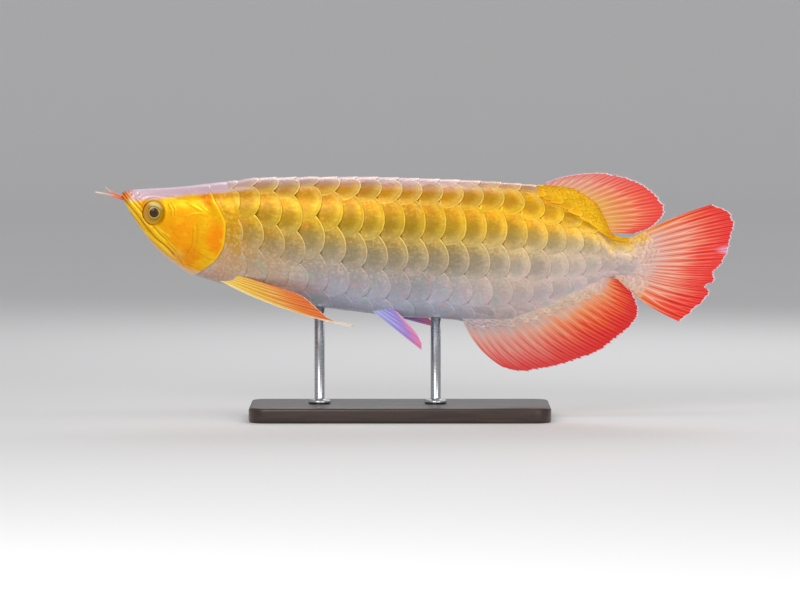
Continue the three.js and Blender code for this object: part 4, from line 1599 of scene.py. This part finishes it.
@dataclass
class Fin:
    """A fin told by guide rays, each from its root to its tip, with branching rays raised in its web."""

    name: str
    guides: tuple
    rays: int
    bow: Pair = (0.0, 0.0)
    wave: float = 0.0
    lay: Lay = Lay.MEDIAN
    side: int = LEFT
    root: Triple = (0.0, 0.0, 0.0)
    heading: Triple = (1.0, 0.0, 0.0)
    chord: Triple = (0.0, 0.0, 1.0)
    droop: float = 0.0
    columns_per_ray: int = 14
    rows: int = 44
    web: Pair = (0.3, 0.1)
    rise: float = 0.4
    foot: Pair = (0.8, 0.8)
    foot_run: Pair = (-4.0, 14.0)
    sunk: float = 0.0
    branches: Pair = (0.4, 0.68)
    bite: float = 2.0
    spiky: float = 1.6
    seed: int = 3

    def __post_init__(self) -> None:
        """Splits the guides into the curve of roots and the curve of tips."""
        self.roots, self.tips = (np.array([guide[end] for guide in self.guides], float) for end in (0, 1))

    def at(self, across: Array, reach: Array, offset: Array) -> Array:
        """Puts places of the fin in the model.

        Args:
            across: shares across the fin, from its first ray to its last.
            reach: shares from root to tip.
            offset: distances off the fin's middle sheet.

        Returns:
            One point to a row.
        """
        root, tip = spline(self.roots, across), spline(self.tips, across)
        ray = tip - root
        sideways = together(-ray[..., 1], ray[..., 0]) * lerp(*self.bow, across)[..., None]
        flat = root + ray * reach[..., None] + sideways * (4 * reach * (1 - reach))[..., None]
        if self.lay is Lay.MEDIAN:
            y = offset + self.wave * reach**2 * np.sin(2 * math.pi * across)
            return together(SNOUT_X + flat[..., 0], y, AXIS_Z + flat[..., 1])
        forward = np.array(self.heading) / np.linalg.norm(self.heading)
        chord = np.array(self.chord) - forward * np.dot(self.chord, forward)
        chord = chord / np.linalg.norm(chord)
        normal = np.cross(forward, chord)
        start = np.array([SNOUT_X + self.root[0], self.root[1], AXIS_Z + self.root[2]])
        point = start + flat[..., :1] * forward + flat[..., 1:] * chord
        point = point + (offset - self.droop * reach**2)[..., None] * normal
        return point * np.array([1.0, -self.side, 1.0])

    def length(self, across: Array) -> Array:
        """Each ray's length from root to tip."""
        return np.linalg.norm(spline(self.tips, across) - spline(self.roots, across), axis=-1)

    def ray_form(self, across: Array, reach: Array) -> Array:
        """How strongly a ray or one of its branches shows.

        Args:
            across: shares across the fin.
            reach: shares from root to tip.

        Returns:
            The strength at each place, from 0 to 1.
        """
        place = across * (self.rays - 1)
        off = place - np.rint(place)
        early, late = (smooth(reach, start, start + 0.3) for start in self.branches)
        width = lerp(0.15, 0.085, early) * lerp(1.0, 0.62, late)
        form = np.zeros_like(off)
        for outer in (-0.25, 0.25):
            for inner in (-0.125, 0.125):
                form = np.maximum(form, bell(off - outer * early - inner * late, width))
        return form

    def half_web(self, across: Array, reach: Array, length: Array) -> Array:
        """Half the web's thickness, which swells at its foot to run into the body.

        Args:
            across: shares across the fin.
            reach: shares from root to tip.
            length: the ray's length at each place.

        Returns:
            The half thickness at each place, without its rays.
        """
        foot = lerp(*self.foot, across) * (1 - smooth(reach * length, *self.foot_run))
        return lerp(self.web[0], self.web[1], np.maximum(reach, 0.0)) + foot

    def build(self, finish: Material) -> Piece:
        """Makes the fin as one closed sheet with a ragged rim.

        Args:
            finish: the fin's material.

        Returns:
            The piece.
        """
        columns = (self.rays - 1) * self.columns_per_ray + 1
        across = np.linspace(0.0, 1.0, columns)
        place = across * (self.rays - 1)
        length = self.length(across)
        waves = [(0.5 + 0.5 * np.cos(count * math.pi * place)) ** self.spiky for count in (2, 4)]
        random = np.random.default_rng(self.seed).random(2 * self.rays)
        uneven = 0.25 + np.interp(place * 2, np.arange(2 * self.rays), random)
        bite = self.bite * smooth(length, 8.0, 40.0)
        end = 1.0 - bite * uneven * (1.0 - (waves[0] + waves[1]) / 2) / length
        steps = (np.arange(self.rows + 1) / self.rows)[:, None]
        reach = lerp(-self.sunk / length[None, :], end[None, :], steps)
        across = np.broadcast_to(across, reach.shape)
        form = self.ray_form(across, reach)
        web = self.half_web(across, reach, length[None, :])
        half = web + self.rise * form * (1 - 0.8 * reach) * smooth(reach, 0.02, 0.3)
        half = half * (1 - 0.75 * smooth(steps, 0.975, 1.0))
        half = half * np.sqrt(0.02 + 0.98 * smooth(steps, -0.005, 0.06))
        sheets = [self.at(across, reach, sign * half).reshape(-1, 3) for sign in (1, -1)]
        faces = sheet_faces(self.rows + 1, columns)
        piece = make_piece(self.name, joined(sheets), [faces], finish)
        share = reach / end[None, :]
        off = np.abs(across * (self.rays - 1) % 1.0 - 0.5)
        gap = np.maximum(bell(off, 0.1), 0.6 * smooth(reach, 0.5, 0.75) * bell(off - 0.5, 0.05))
        edge = np.minimum((1.0 - share) * length[None, :], 12.0)
        form, gap, edge = (np.tile(values.ravel(), 2) for values in (form, gap, edge))
        add_values(piece, ray=form, gap=gap, edge=edge)
        add_map(piece, "Fin", np.tile(together(across.ravel(), share.ravel()), (2, 1)))
        return piece


@dataclass
class FinBase:
    """Small scales that climb from the body onto a fin, over both its faces, and fade out on it."""

    fin: Fin
    width: float
    size: Pair
    columns: int
    first_along: float | None = None
    first_distance: float = 0.0
    fades: Pair = (0.45, 1.0)
    shortest: float = 1.0

    def rows(self) -> int:
        """How many rows of scales lie across the fin."""
        return int(self.width / self.size[1])

    def start(self, across: Array, length: Array) -> Array:
        """Where the scales begin on each ray.

        Args:
            across: shares across the fin.
            length: the ray's length at each place.

        Returns:
            The shares of the rays' lengths.
        """
        if self.first_along is None:
            return self.first_distance / length
        root, tip = spline(self.fin.roots, across)[..., 0], spline(self.fin.tips, across)[..., 0]
        return np.clip((self.first_along - root) / (tip - root), 0.0, 1.0)

    def squeeze(self, length: Array) -> Array:
        """How much shorter the scales are on short rays."""
        return lerp(self.shortest, 1.0, smooth(length, 16.0, 44.0))

    def layer(self, side: int) -> Layer:
        """A function that lays plates over one face of the fin's foot.

        Args:
            side: LEFT or RIGHT.

        Returns:
            The function. Columns run out along the rays and rows run across the fin.
        """
        fin = self.fin

        def lay(flat: Array, root: Array, lift: Array) -> Laid:
            """Lays plates by their points, roots and lifts."""
            across = np.clip(flat[:, 1] * self.size[1] / self.width, 0.01, 0.99)
            length = fin.length(across)
            reach = self.start(across, length) + flat[:, 0] * self.size[0] * self.squeeze(length) / length
            at = root[:, 0] / self.columns, root[:, 1] * self.size[1] / self.width
            uneven = 0.08 * np.sin(root[:, 1] * 2.3) + 0.06 * np.sin(root[:, 1] * 5.1)
            fade = smooth(flat[:, 0] / (self.columns + 1.0) + uneven, *self.fades)
            web = fin.half_web(across, reach, length) + (0.1 + 0.25 * smooth(reach, 0.0, 0.25)) * (1 - fade)
            points = fin.at(across, reach, -side * (web + lift - 0.2 * fade))
            return Laid(points, across, 0.03 + 0.94 * np.stack(at, axis=-1), 0.6 * (1 - fade), fade)

        return lay


DORSAL_FIN = Fin(
    "dorsal_fin_rays",
    (
        ((334.4, 45.6), (339.2, 50.2)), ((344.8, 45), (357.6, 55.6)), ((356, 42.8), (383.2, 58)),
        ((368, 37.6), (404.8, 54)), ((376.8, 31.2), (423, 44.4)), ((382.4, 23.2), (434.8, 29)),
        ((385.6, 15.2), (425.6, 15.6)), ((388, 9.6), (410, 9)),
    ),
    rays=20, wave=2.0, foot=(2.4, 1.6), foot_run=(-5.0, 10.0), sunk=5.0, seed=5,
)
ANAL_FIN = Fin(
    "anal_fin_rays",
    (
        ((271.2, -55.6), (306.4, -98.8)), ((282.4, -57), (321.6, -101.6)), ((296, -58), (341.6, -98.4)),
        ((312, -56), (358.4, -94.4)), ((326.4, -52.6), (374.4, -88.8)), ((340.8, -47), (388.8, -80.8)),
        ((355.2, -40.6), (401.6, -70.4)), ((368, -35.2), (411.6, -59.6)), ((377, -30.5), (413.4, -49.6)),
        ((383, -27.8), (407.6, -36)), ((388, -26), (397.6, -27.6)),
    ),
    rays=26, bow=(-0.1, 0.0), wave=2.0, foot=(7.0, 4.8), foot_run=(-12.0, 18.0), sunk=12.0, seed=7,
)
CAUDAL_FIN = Fin(
    "caudal_fin_rays",
    (
        ((404, 3.8), (472.4, 32.8)), ((405, 1), (486, 26.4)), ((406, -3.2), (490.4, 16.8)),
        ((406.4, -7.2), (488, 6.4)), ((407.2, -11.2), (485.6, -4)), ((405.6, -15.2), (480.4, -15.2)),
        ((403.2, -17.6), (474.2, -21.6)), ((401.6, -19.2), (474.8, -28.4)), ((400, -20), (467.6, -32.4)),
        ((398.4, -20.8), (470.4, -38)), ((395.2, -22.4), (460.8, -49.6)), ((392, -22.4), (446.8, -61.6)),
    ),
    rays=19, bow=(0.03, -0.06), wave=3.0, foot=(2.2, 2.2), foot_run=(0.0, 30.0), sunk=4.0, seed=11,
)
PECTORAL_GUIDES = (
    ((-12, -1.5), (113, -2.4)), ((-12, -0.2), (109, -5.8)), ((-12, 0.9), (91, -4.8)), ((-12, 2), (78, 1.2)),
    ((-12, 3.1), (71, 5)), ((-12, 4.2), (62, 7.2)), ((-12, 5.2), (42, 7.2)),
)
PELVIC_GUIDES = (
    ((-6, 0), (51, 0)), ((-6, 2.5), (46, 5.5)), ((-6, 5), (37, 9)), ((-6, 8), (26, 11)), ((-6, 11), (16, 12)),
)
PECTORAL_HEADINGS = {LEFT: (104.0, 30.0, -34.0), RIGHT: (104.0, 34.0, -20.0)}
PELVIC_LAYS = {
    LEFT: ((201.0, 4.5, -53.0), (39.0, 12.0, -31.0), (0.62, 0.3, 0.78)),
    RIGHT: ((203.0, 4.5, -53.0), (50.0, 16.0, -15.0), (0.3, 0.5, 0.9)),
}


def paired_fins(side: int, name: str) -> tuple[Fin, Fin]:
    """The pectoral and pelvic fin of one side.

    Args:
        side: LEFT or RIGHT.
        name: the side's name.

    Returns:
        The two fins.
    """
    blade = Fin(
        f"pectoral_blade_{name}", PECTORAL_GUIDES, rays=9, bow=(-0.055, 0.01), lay=Lay.PAIRED, side=side,
        root=(83.0, 8.9, -26.5), heading=PECTORAL_HEADINGS[side], chord=(0.1, 0.5, 1.0), droop=-2.0,
        rows=60, branches=(0.5, 0.8), bite=0.8, foot=(0.4, 0.6), foot_run=(0.0, 30.0),
        rise=0.5, seed=13,
    )
    root, heading, chord = PELVIC_LAYS[side]
    pelvic = Fin(
        f"pelvic_blade_{name}", PELVIC_GUIDES, rays=6, lay=Lay.PAIRED, side=side, root=root, heading=heading,
        chord=chord, droop=-1.5, columns_per_ray=12, rows=30, bite=0.7, foot=(0.8, 0.5),
        foot_run=(0.0, 20.0), rise=0.35, seed=17,
    )
    return blade, pelvic


@dataclass
class Eye:
    """A glossy ball set in the head."""

    node: str
    rings: int = 28
    sides: int = 56

    def build(self, finish: Material) -> Piece:
        """Makes the ball in the place of its CAD node.

        Args:
            finish: the eye's material.

        Returns:
            The piece.
        """
        low, high = (np.array(corner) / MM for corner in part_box(self.node))
        centre, radii = (low + high) / 2, (high - low) / 2
        polar = np.linspace(0.0, math.pi, self.rings + 1)[1:-1, None]
        turn = turns(self.sides)[None, :]
        out = math.copysign(1.0, centre[1])
        x, z = np.sin(polar) * np.cos(turn), np.sin(polar) * np.sin(turn)
        y = out * np.cos(polar) * np.ones_like(turn)
        poles = centre + np.array([[0, out, 0], [0, -out, 0]]) * radii
        points, faces = ringed(centre + together(x, y, z) * radii, poles)
        return make_piece(self.node.replace("eye", "eyeball"), points, faces, finish)


def tube(path: Array, radii: Array, sides: int) -> tuple[Array, list[Array]]:
    """A round tube along a path, closed at both its ends.

    Args:
        path: its centre line, one point to a row.
        radii: its radius at each point.
        sides: how many sides it has.

    Returns:
        Its points and its faces.
    """
    heading = np.gradient(path, axis=0)
    heading /= np.linalg.norm(heading, axis=1)[:, None]
    first = np.cross(heading, (0.0, 0.0, 1.0))
    first /= np.linalg.norm(first, axis=1)[:, None]
    second = np.cross(heading, first)
    turn = turns(sides)[None, :, None]
    ring = first[:, None] * np.cos(turn) + second[:, None] * np.sin(turn)
    return ringed(path[:, None] + ring * radii[:, None, None], path[[0, -1]])


@dataclass
class Barbel:
    """A feeler of the lower jaw's tip."""

    name: str
    side: int
    path: tuple[Triple, ...]
    radii: Pair = (1.25, 0.42)

    def build(self, finish: Material) -> Piece:
        """Makes the tapering tube with a rounded tip.

        Args:
            finish: the barbel's material.

        Returns:
            The piece.
        """
        share = np.linspace(0.0, 1.0, 40)
        line = spline(np.array(self.path, float), share)
        path = together(SNOUT_X + line[:, 0], -self.side * line[:, 1], AXIS_Z + line[:, 2])
        bumps = 1 + 0.05 * np.sin(share * 60)
        radii = lerp(*self.radii, share) * bumps * np.sqrt(1 - smooth(share, 0.9, 1.0) * 0.96)
        points, faces = tube(path, radii, 20)
        return make_piece(self.name, points, faces, finish)


@dataclass
class Stand:
    """The plain stand: a wooden base with rounded edges and two steel rods with a foot collar each."""

    corner: float = 14.0
    corner_sides: int = 64
    edge: float = 2.2
    edge_steps: int = 7
    rod_radius: float = 4.0
    rod_sides: int = 48
    collar: Pair = (9.0, 3.0)

    def base(self, finish: Material) -> Piece:
        """Makes the base with rounded edges, in the box of its CAD node.

        Args:
            finish: the base's material.

        Returns:
            The piece.
        """
        low, high = (np.array(corner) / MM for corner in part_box("stand_base"))
        half = (high - low)[:2] / 2 - self.corner
        turn = turns(self.corner_sides)
        # A hair more than each turn settles which corner a point on an axis belongs to.
        corner_x, corner_y = np.sign(np.cos(turn + 1e-6)), np.sign(np.sin(turn + 1e-6))
        ease = np.linspace(0.0, math.pi / 2, self.edge_steps)
        inset, level = self.edge * (1 - np.sin(ease)), self.edge * (1 - np.cos(ease))
        levels = joined([low[2] + level, high[2] - level[::-1]])
        rings = []
        for inward, z in zip(joined([inset, inset[::-1]]), levels):
            radius = self.corner - inward
            x = corner_x * half[0] + radius * np.cos(turn)
            y = corner_y * half[1] + radius * np.sin(turn)
            rings.append(together(x, y, np.full_like(x, z)))
        points, faces = ringed(np.array(rings), np.array([[0, 0, low[2]], [0, 0, high[2]]]))
        return make_piece("base_board", points, faces, finish)

    def rod(self, node: str, finish: Material) -> Piece:
        """Makes a round rod with its collar, in the box of its CAD node.

        Args:
            node: the rod's CAD node.
            finish: the rod's material.

        Returns:
            The piece.
        """
        low, high = (np.array(corner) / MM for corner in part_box(node))
        centre = (low + high) / 2
        (wide, rise), thin = self.collar, self.rod_radius
        outline = [
            (wide - 0.5, 0), (wide, 0.5), (wide, rise - 1.0), (wide - 0.4, rise - 0.4), (wide - 1.2, rise),
            (thin + 1.2, rise + 0.1), (thin + 0.3, rise + 0.5), (thin, rise + 1.4), (thin, high[2] - low[2]),
        ]
        path = np.array([(centre[0], centre[1], low[2] + z) for _, z in outline])
        turn = turns(self.rod_sides)
        rings = [point + together(r * np.cos(turn), r * np.sin(turn), 0 * turn)
                 for point, (r, _) in zip(path, outline)]
        points, faces = ringed(np.array(rings), path[[0, -1]])
        return make_piece(node.replace("stand_rod", "rod"), points, faces, finish)

    def build(self) -> None:
        """Makes the base and both rods and hides their CAD nodes."""
        settle(self.base(WoodFinish().build()), ["stand_base"])
        steel = SteelFinish().build()
        for node in ("stand_rod_front", "stand_rod_rear"):
            settle(self.rod(node, steel), [node])


@dataclass(frozen=True)
class Lamp:
    """A soft rectangular light, aimed at the fish."""

    name: str
    place: Triple
    size: Pair
    power: float
    colour: Triple = (1.0, 1.0, 1.0)


@dataclass
class Studio:
    """The pale floor, the lights and the camera."""

    aim: Triple = (0.0, 0.0, 0.095)
    distance: float = 4.0
    elevation: float = math.radians(3.0)
    lens: float = 225.0
    sensor: float = 36.0
    lamps: tuple[Lamp, ...] = (
        Lamp("key", (-0.5, -1.6, 0.8), (0.8, 0.6), 10.5, (1.0, 0.99, 0.97)),
        Lamp("top_strip", (0.1, -0.3, 1.0), (1.5, 0.3), 1.4),
        Lamp("fill", (0.9, -1.5, 0.45), (1.2, 0.4), 5.6, (1.0, 0.98, 0.96)),
        Lamp("back", (0.3, 1.1, 0.9), (1.2, 0.6), 4.5),
    )
    sky: tuple[float, float, float, float] = (0.97, 0.97, 0.98, 1.0)
    sky_strength: float = 0.45
    floor_colour: Colour = "#EEEEEF"
    floor_ends: Pair = (-6.0, 6.0)
    floor_half_width: float = 7.0
    curve: float = 1.2
    wall_height: float = 5.0

    def light(self, lamp: Lamp) -> None:
        """Adds one light.

        Args:
            lamp: the light's place, size, power and colour.
        """
        data = bpy.data.lights.new(lamp.name, "AREA")
        data.shape = "RECTANGLE"
        data.size, data.size_y = lamp.size
        data.energy, data.color = lamp.power, lamp.colour
        light = show(lamp.name, data)
        light.location = lamp.place
        light.visible_camera = False
        light.rotation_euler = (Vector(self.aim) - light.location).to_track_quat("-Z", "Y").to_euler()

    def floor(self) -> None:
        """Adds a pale floor that curves up into a backdrop."""
        graph = Graph("floor_finish")
        graph.bump(graph.noise(40.0), 0.0002, 0.2)
        finish = graph.finish(rgba(self.floor_colour), Roughness=0.7)
        (front, back), curve = self.floor_ends, self.curve
        rise = np.linspace(0.0, math.pi / 2, 24)
        y = joined([[front], back - curve + curve * np.sin(rise), [back]])
        z = joined([[0.0], curve - curve * np.cos(rise), [self.wall_height]])
        edges = [together(np.full_like(y, side * self.floor_half_width), y, z) for side in (-1, 1)]
        mesh = bpy.data.meshes.new("floor")
        points = np.stack(edges, axis=1).reshape(-1, 3)
        mesh.from_pydata(points.tolist(), [], grid_faces(len(y), 2).tolist())
        mesh.shade_smooth()
        mesh.materials.append(finish)
        show("floor", mesh)

    def camera(self) -> None:
        """Adds the camera, level with the photograph's view of the left flank."""
        data = bpy.data.cameras.new("camera")
        data.lens, data.sensor_width = self.lens, self.sensor
        camera = show("camera", data)
        back = Vector((0.0, -math.cos(self.elevation), math.sin(self.elevation)))
        camera.location = Vector(self.aim) + back * self.distance
        camera.rotation_euler = (-back).to_track_quat("-Z", "Y").to_euler()
        bpy.context.scene.camera = camera

    def build(self) -> None:
        """Sets the studio up."""
        scene = bpy.context.scene
        scene.world = bpy.data.worlds.new("studio")
        scene.world.use_nodes = True
        background = scene.world.node_tree.nodes["Background"]
        background.inputs["Color"].default_value = self.sky
        background.inputs["Strength"].default_value = self.sky_strength
        scene.view_settings.view_transform = "Standard"
        for lamp in self.lamps:
            self.light(lamp)
        self.floor()
        self.camera()


FLESH = [
    "head", "lower_jaw", "gill_cover_left", "gill_cover_right", "trunk_front", "trunk_mid", "trunk_rear",
    "tail_peduncle",
]
BARBEL_PATHS = {
    LEFT: ((1.6, 1.6, 36.8), (-4, 3.2, 38.6), (-12, 6.5, 41), (-20.8, 10.5, 42.8)),
    RIGHT: ((1.6, 1.6, 36.8), (-3, 3.6, 39.4), (-8, 7, 42), (-14, 12, 46)),
}
CAUDAL_FINISH = FinFinish(
    "tail_web",
    first=((0.0, "#D2B0AA"), (0.26, "#DAACA0"), (0.4, "#E89A84"), (0.6, "#EE7A5E"), (0.78, "#EE3A2A"),
           (0.95, "#EA1C1C")),
    second=((0.0, "#D8B498"), (0.16, "#E0A468"), (0.3, "#F09440"), (0.45, "#F07C3E"), (0.65, "#F05A2C"),
            (0.85, "#EC2C18")),
    meets=(0.72, 0.98), from_middle=True, ray="#FFE0D0", ray_strength=0.8, web="#9C180C",
    web_strength=0.7, rim="#F4E2F4", patch=Tint((486.5, -4.0), (14.0, 4.6), "#DCCCF6", 0.75),
)
DORSAL_FINISH = FinFinish(
    "dorsal_web",
    first=((0.0, "#E2AA60"), (0.25, "#D8A48C"), (0.55, "#DA9A8E"), (0.9, "#E27E7A")),
    second=((0.0, "#E2A838"), (0.2, "#E09C50"), (0.45, "#EC8250"), (0.66, "#EE5A40"), (0.9, "#EC3636")),
    meets=(0.12, 0.62), ray="#FFDAB4", ray_strength=0.75, web="#A84014", web_strength=0.6,
)
ANAL_FINISH = FinFinish(
    "anal_web",
    first=((0.0, "#BCB0B8"), (0.2, "#C8B0AC"), (0.36, "#DA9E94"), (0.6, "#E27A74"), (0.9, "#E23C40")),
    second=((0.0, "#CCBAB4"), (0.18, "#D8AE98"), (0.32, "#E88E5C"), (0.56, "#E44C1A"), (0.85, "#D6161C")),
    meets=(0.1, 0.6), ray="#FFBE9C", web="#98180A", web_strength=0.65, web_from=(0.22, 0.5), rim="#F0D8E4",
)
PECTORAL_FINISH = FinFinish(
    "pectoral_web",
    first=((0.0, "#FFE49C"), (0.4, "#FFECBC"), (1.0, "#FFF6E0")),
    second=((0.0, "#FFD45C"), (0.35, "#FAC238"), (0.62, "#F4A43C"), (0.85, "#F07A30"), (1.0, "#F0602A")),
    meets=(0.12, 0.26), ray="#FFF0B8", ray_strength=0.85, web="#B85C04", web_strength=0.7, rim="#FCE6BC",
    rim_width=0.8,
)
PELVIC_FINISH = FinFinish(
    "pelvic_web",
    first=((0.0, "#B4BCEA"), (0.5, "#A29CE2"), (0.75, "#AC84D0"), (0.92, "#EE82AC")),
    second=((0.0, "#A8B2E6"), (0.5, "#948CDA"), (0.75, "#A080CE"), (0.92, "#ECA0C0")),
    ray="#F0ECFF", web="#5248B0", web_strength=0.6, rim="#F8F0FA", rim_width=0.9,
)
YELLOW_SCALES = ScaleFinish(
    "small_yellow_scales", own=((0.0, "#FAB602"), (0.3, "#FFC804"), (0.6, "#F4C040")), shade=0.3,
    rim_from=0.78, edge="#FFE448",
)
GOLDEN_SCALES = ScaleFinish(
    "medium_scales", own=((0.0, "#F8B604"), (0.3, "#F8B80A"), (0.42, "#E8B634"), (0.6, "#CCB48C")),
    shade=0.4, rim_from=0.86, edge="#FFE654",
)
PALE_SCALES = ScaleFinish(
    "anal_base_scales", own=((0.1, "#D0C4CE"), (0.35, "#DAC8BE"), (0.6, "#DAC8B2"), (0.9, "#E0C8C2")),
    into=((0.0, "#DCBEBC"), (0.3, "#E2B09C"), (0.6, "#E8A27C"), (0.9, "#E88A64")),
    shade=0.15, rim_from=0.8, rim_strength=0.5, margin=0.2, metallic=0.25,
)
ROSY_SCALES = ScaleFinish(
    "tail_base_scales",
    own=((0.0, "#F4B408"), (0.1, "#E8B648"), (0.2, "#DEB8A2"), (0.5, "#D8B8B6"), (1.0, "#DEBCB0")),
    into=((0.0, "#F0A83C"), (0.2, "#E4AE9A"), (0.8, "#E2AE9E"), (1.0, "#EAA464")),
    shade=0.15, rim_from=0.8, rim_strength=0.7, metallic=0.25,
)
LARGE = {"patch": (0.034, 0.15)}
RIDGE = {"plate": Plate(half_width=0.86), "sunk": -0.6, "raised": 0.15, "overlap": 0.0, "dome": 0.1, **LARGE}
MIDDLING = {
    "sunk": -0.45, "raised": 0.36, "overlap": 0.12, "dome": 0.06, "tilt": 0.08, "thickness": 0.1,
    "patch": (0.01, 0.01),
}
TINY = {
    "plate": SMALL_PLATE, "sunk": -0.25, "raised": 0.22, "overlap": 0.04, "dome": 0.08, "tilt": 0.05,
    "thickness": 0.06, "patch": (0.003, 0.003),
}
FAINT = {
    "plate": SMALL_PLATE, "sunk": -0.1, "raised": 0.08, "overlap": 0.01, "dome": 0.04, "tilt": 0.02,
    "thickness": 0.03, "patch": (0.003, 0.003),
}


def add_fins() -> None:
    """Makes the fins and hides their CAD nodes."""
    middle = ((DORSAL_FIN, DORSAL_FINISH), (ANAL_FIN, ANAL_FINISH), (CAUDAL_FIN, CAUDAL_FINISH))
    for fin, finish in middle:
        settle(fin.build(finish.build()), [fin.name.removesuffix("_rays")])
    gold, lilac = PECTORAL_FINISH.build(), PELVIC_FINISH.build()
    for name, side in SIDES.items():
        blade, pelvic = paired_fins(side, name)
        settle(blade.build(gold), [f"pectoral_fin_{name}"])
        settle(pelvic.build(lilac), [f"pelvic_fin_{name}"])


def add_coats() -> None:
    """Makes the large scales of both flanks and the back, and the small ones at the fins' feet."""
    tree = PlateTree()
    pearly, golden, yellow, rosy, pale = (
        finish.build() for finish in (ScaleFinish(), GOLDEN_SCALES, YELLOW_SCALES, ROSY_SCALES, PALE_SCALES)
    )
    flank = Flank()
    medium = ScalePatch(SMALL_LOWER, MEDIUM_LOWER, columns=10, rows=1, depth=0.74)
    small = ScalePatch(SMALL_UPPER, SMALL_LOWER, columns=22, rows=4)
    tail = FinBase(CAUDAL_FIN, width=34.0, size=(4.0, 2.2), columns=6, first_along=401.0, fades=(0.3, 0.95))
    anal = FinBase(
        ANAL_FIN, width=118.0, size=(3.4, 3.0), columns=7, first_distance=-10.0, fades=(0.4, 0.92),
        shortest=0.62,
    )
    back = Coat("back_scales", Lattice(16, 1, -0.65, -0.5, seed=5), flank.layer(LEFT), **RIDGE)
    settle(back.build(tree, pearly))
    for name, side in SIDES.items():
        for place, surface, lattice, sizes, finish in (
            ("flank", flank, Lattice(21, 5, -0.65, 0.5, 0.0, 0.012, 21), LARGE, pearly),
            (
                "medium", medium, Lattice(medium.columns, medium.rows, 0.5, 0.5, 0.4, 0.06, 61), MIDDLING,
                golden,
            ),
            ("dorsal_base", small, Lattice(small.columns, small.rows, 0.4, 0.4, 0.5, 0.14, 31), TINY, yellow),
            ("tail_base", tail, Lattice(tail.columns, tail.rows(), 0.4, 0.5, 0.5, 0.08, 41), FAINT, rosy),
            ("anal_base", anal, Lattice(anal.columns, anal.rows(), 0.4, 0.5, 0.5, 0.08, 51), FAINT, pale),
        ):
            lattice = replace(lattice, seed=lattice.seed + side)
            coat = Coat(f"{place}_scales_{name}", lattice, surface.layer(side), **sizes)
            settle(coat.build(tree, finish))


def main() -> None:
    """Builds the fish, its stand and the studio."""
    logging.basicConfig(level=logging.INFO, format="%(name)s %(message)s")
    settle(Skin().build(SkinFinish().build()), FLESH)
    add_coats()
    add_fins()
    low, high = (np.array(corner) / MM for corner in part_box("eye_left"))
    centre = (low + high) / 2
    wet = EyeFinish((centre[0] - SNOUT_X + 0.4, centre[2] - AXIS_Z + 0.2)).build()
    for name in SIDES:
        settle(Eye(f"eye_{name}").build(wet), [f"eye_{name}"])
    soft = BarbelFinish().build()
    for name, side in SIDES.items():
        feeler = Barbel(f"feeler_{name}", side, BARBEL_PATHS[side])
        settle(feeler.build(soft), [f"barbel_{name}"])
    Stand().build()
    Studio().build()


if __name__ == "__main__":
    main()
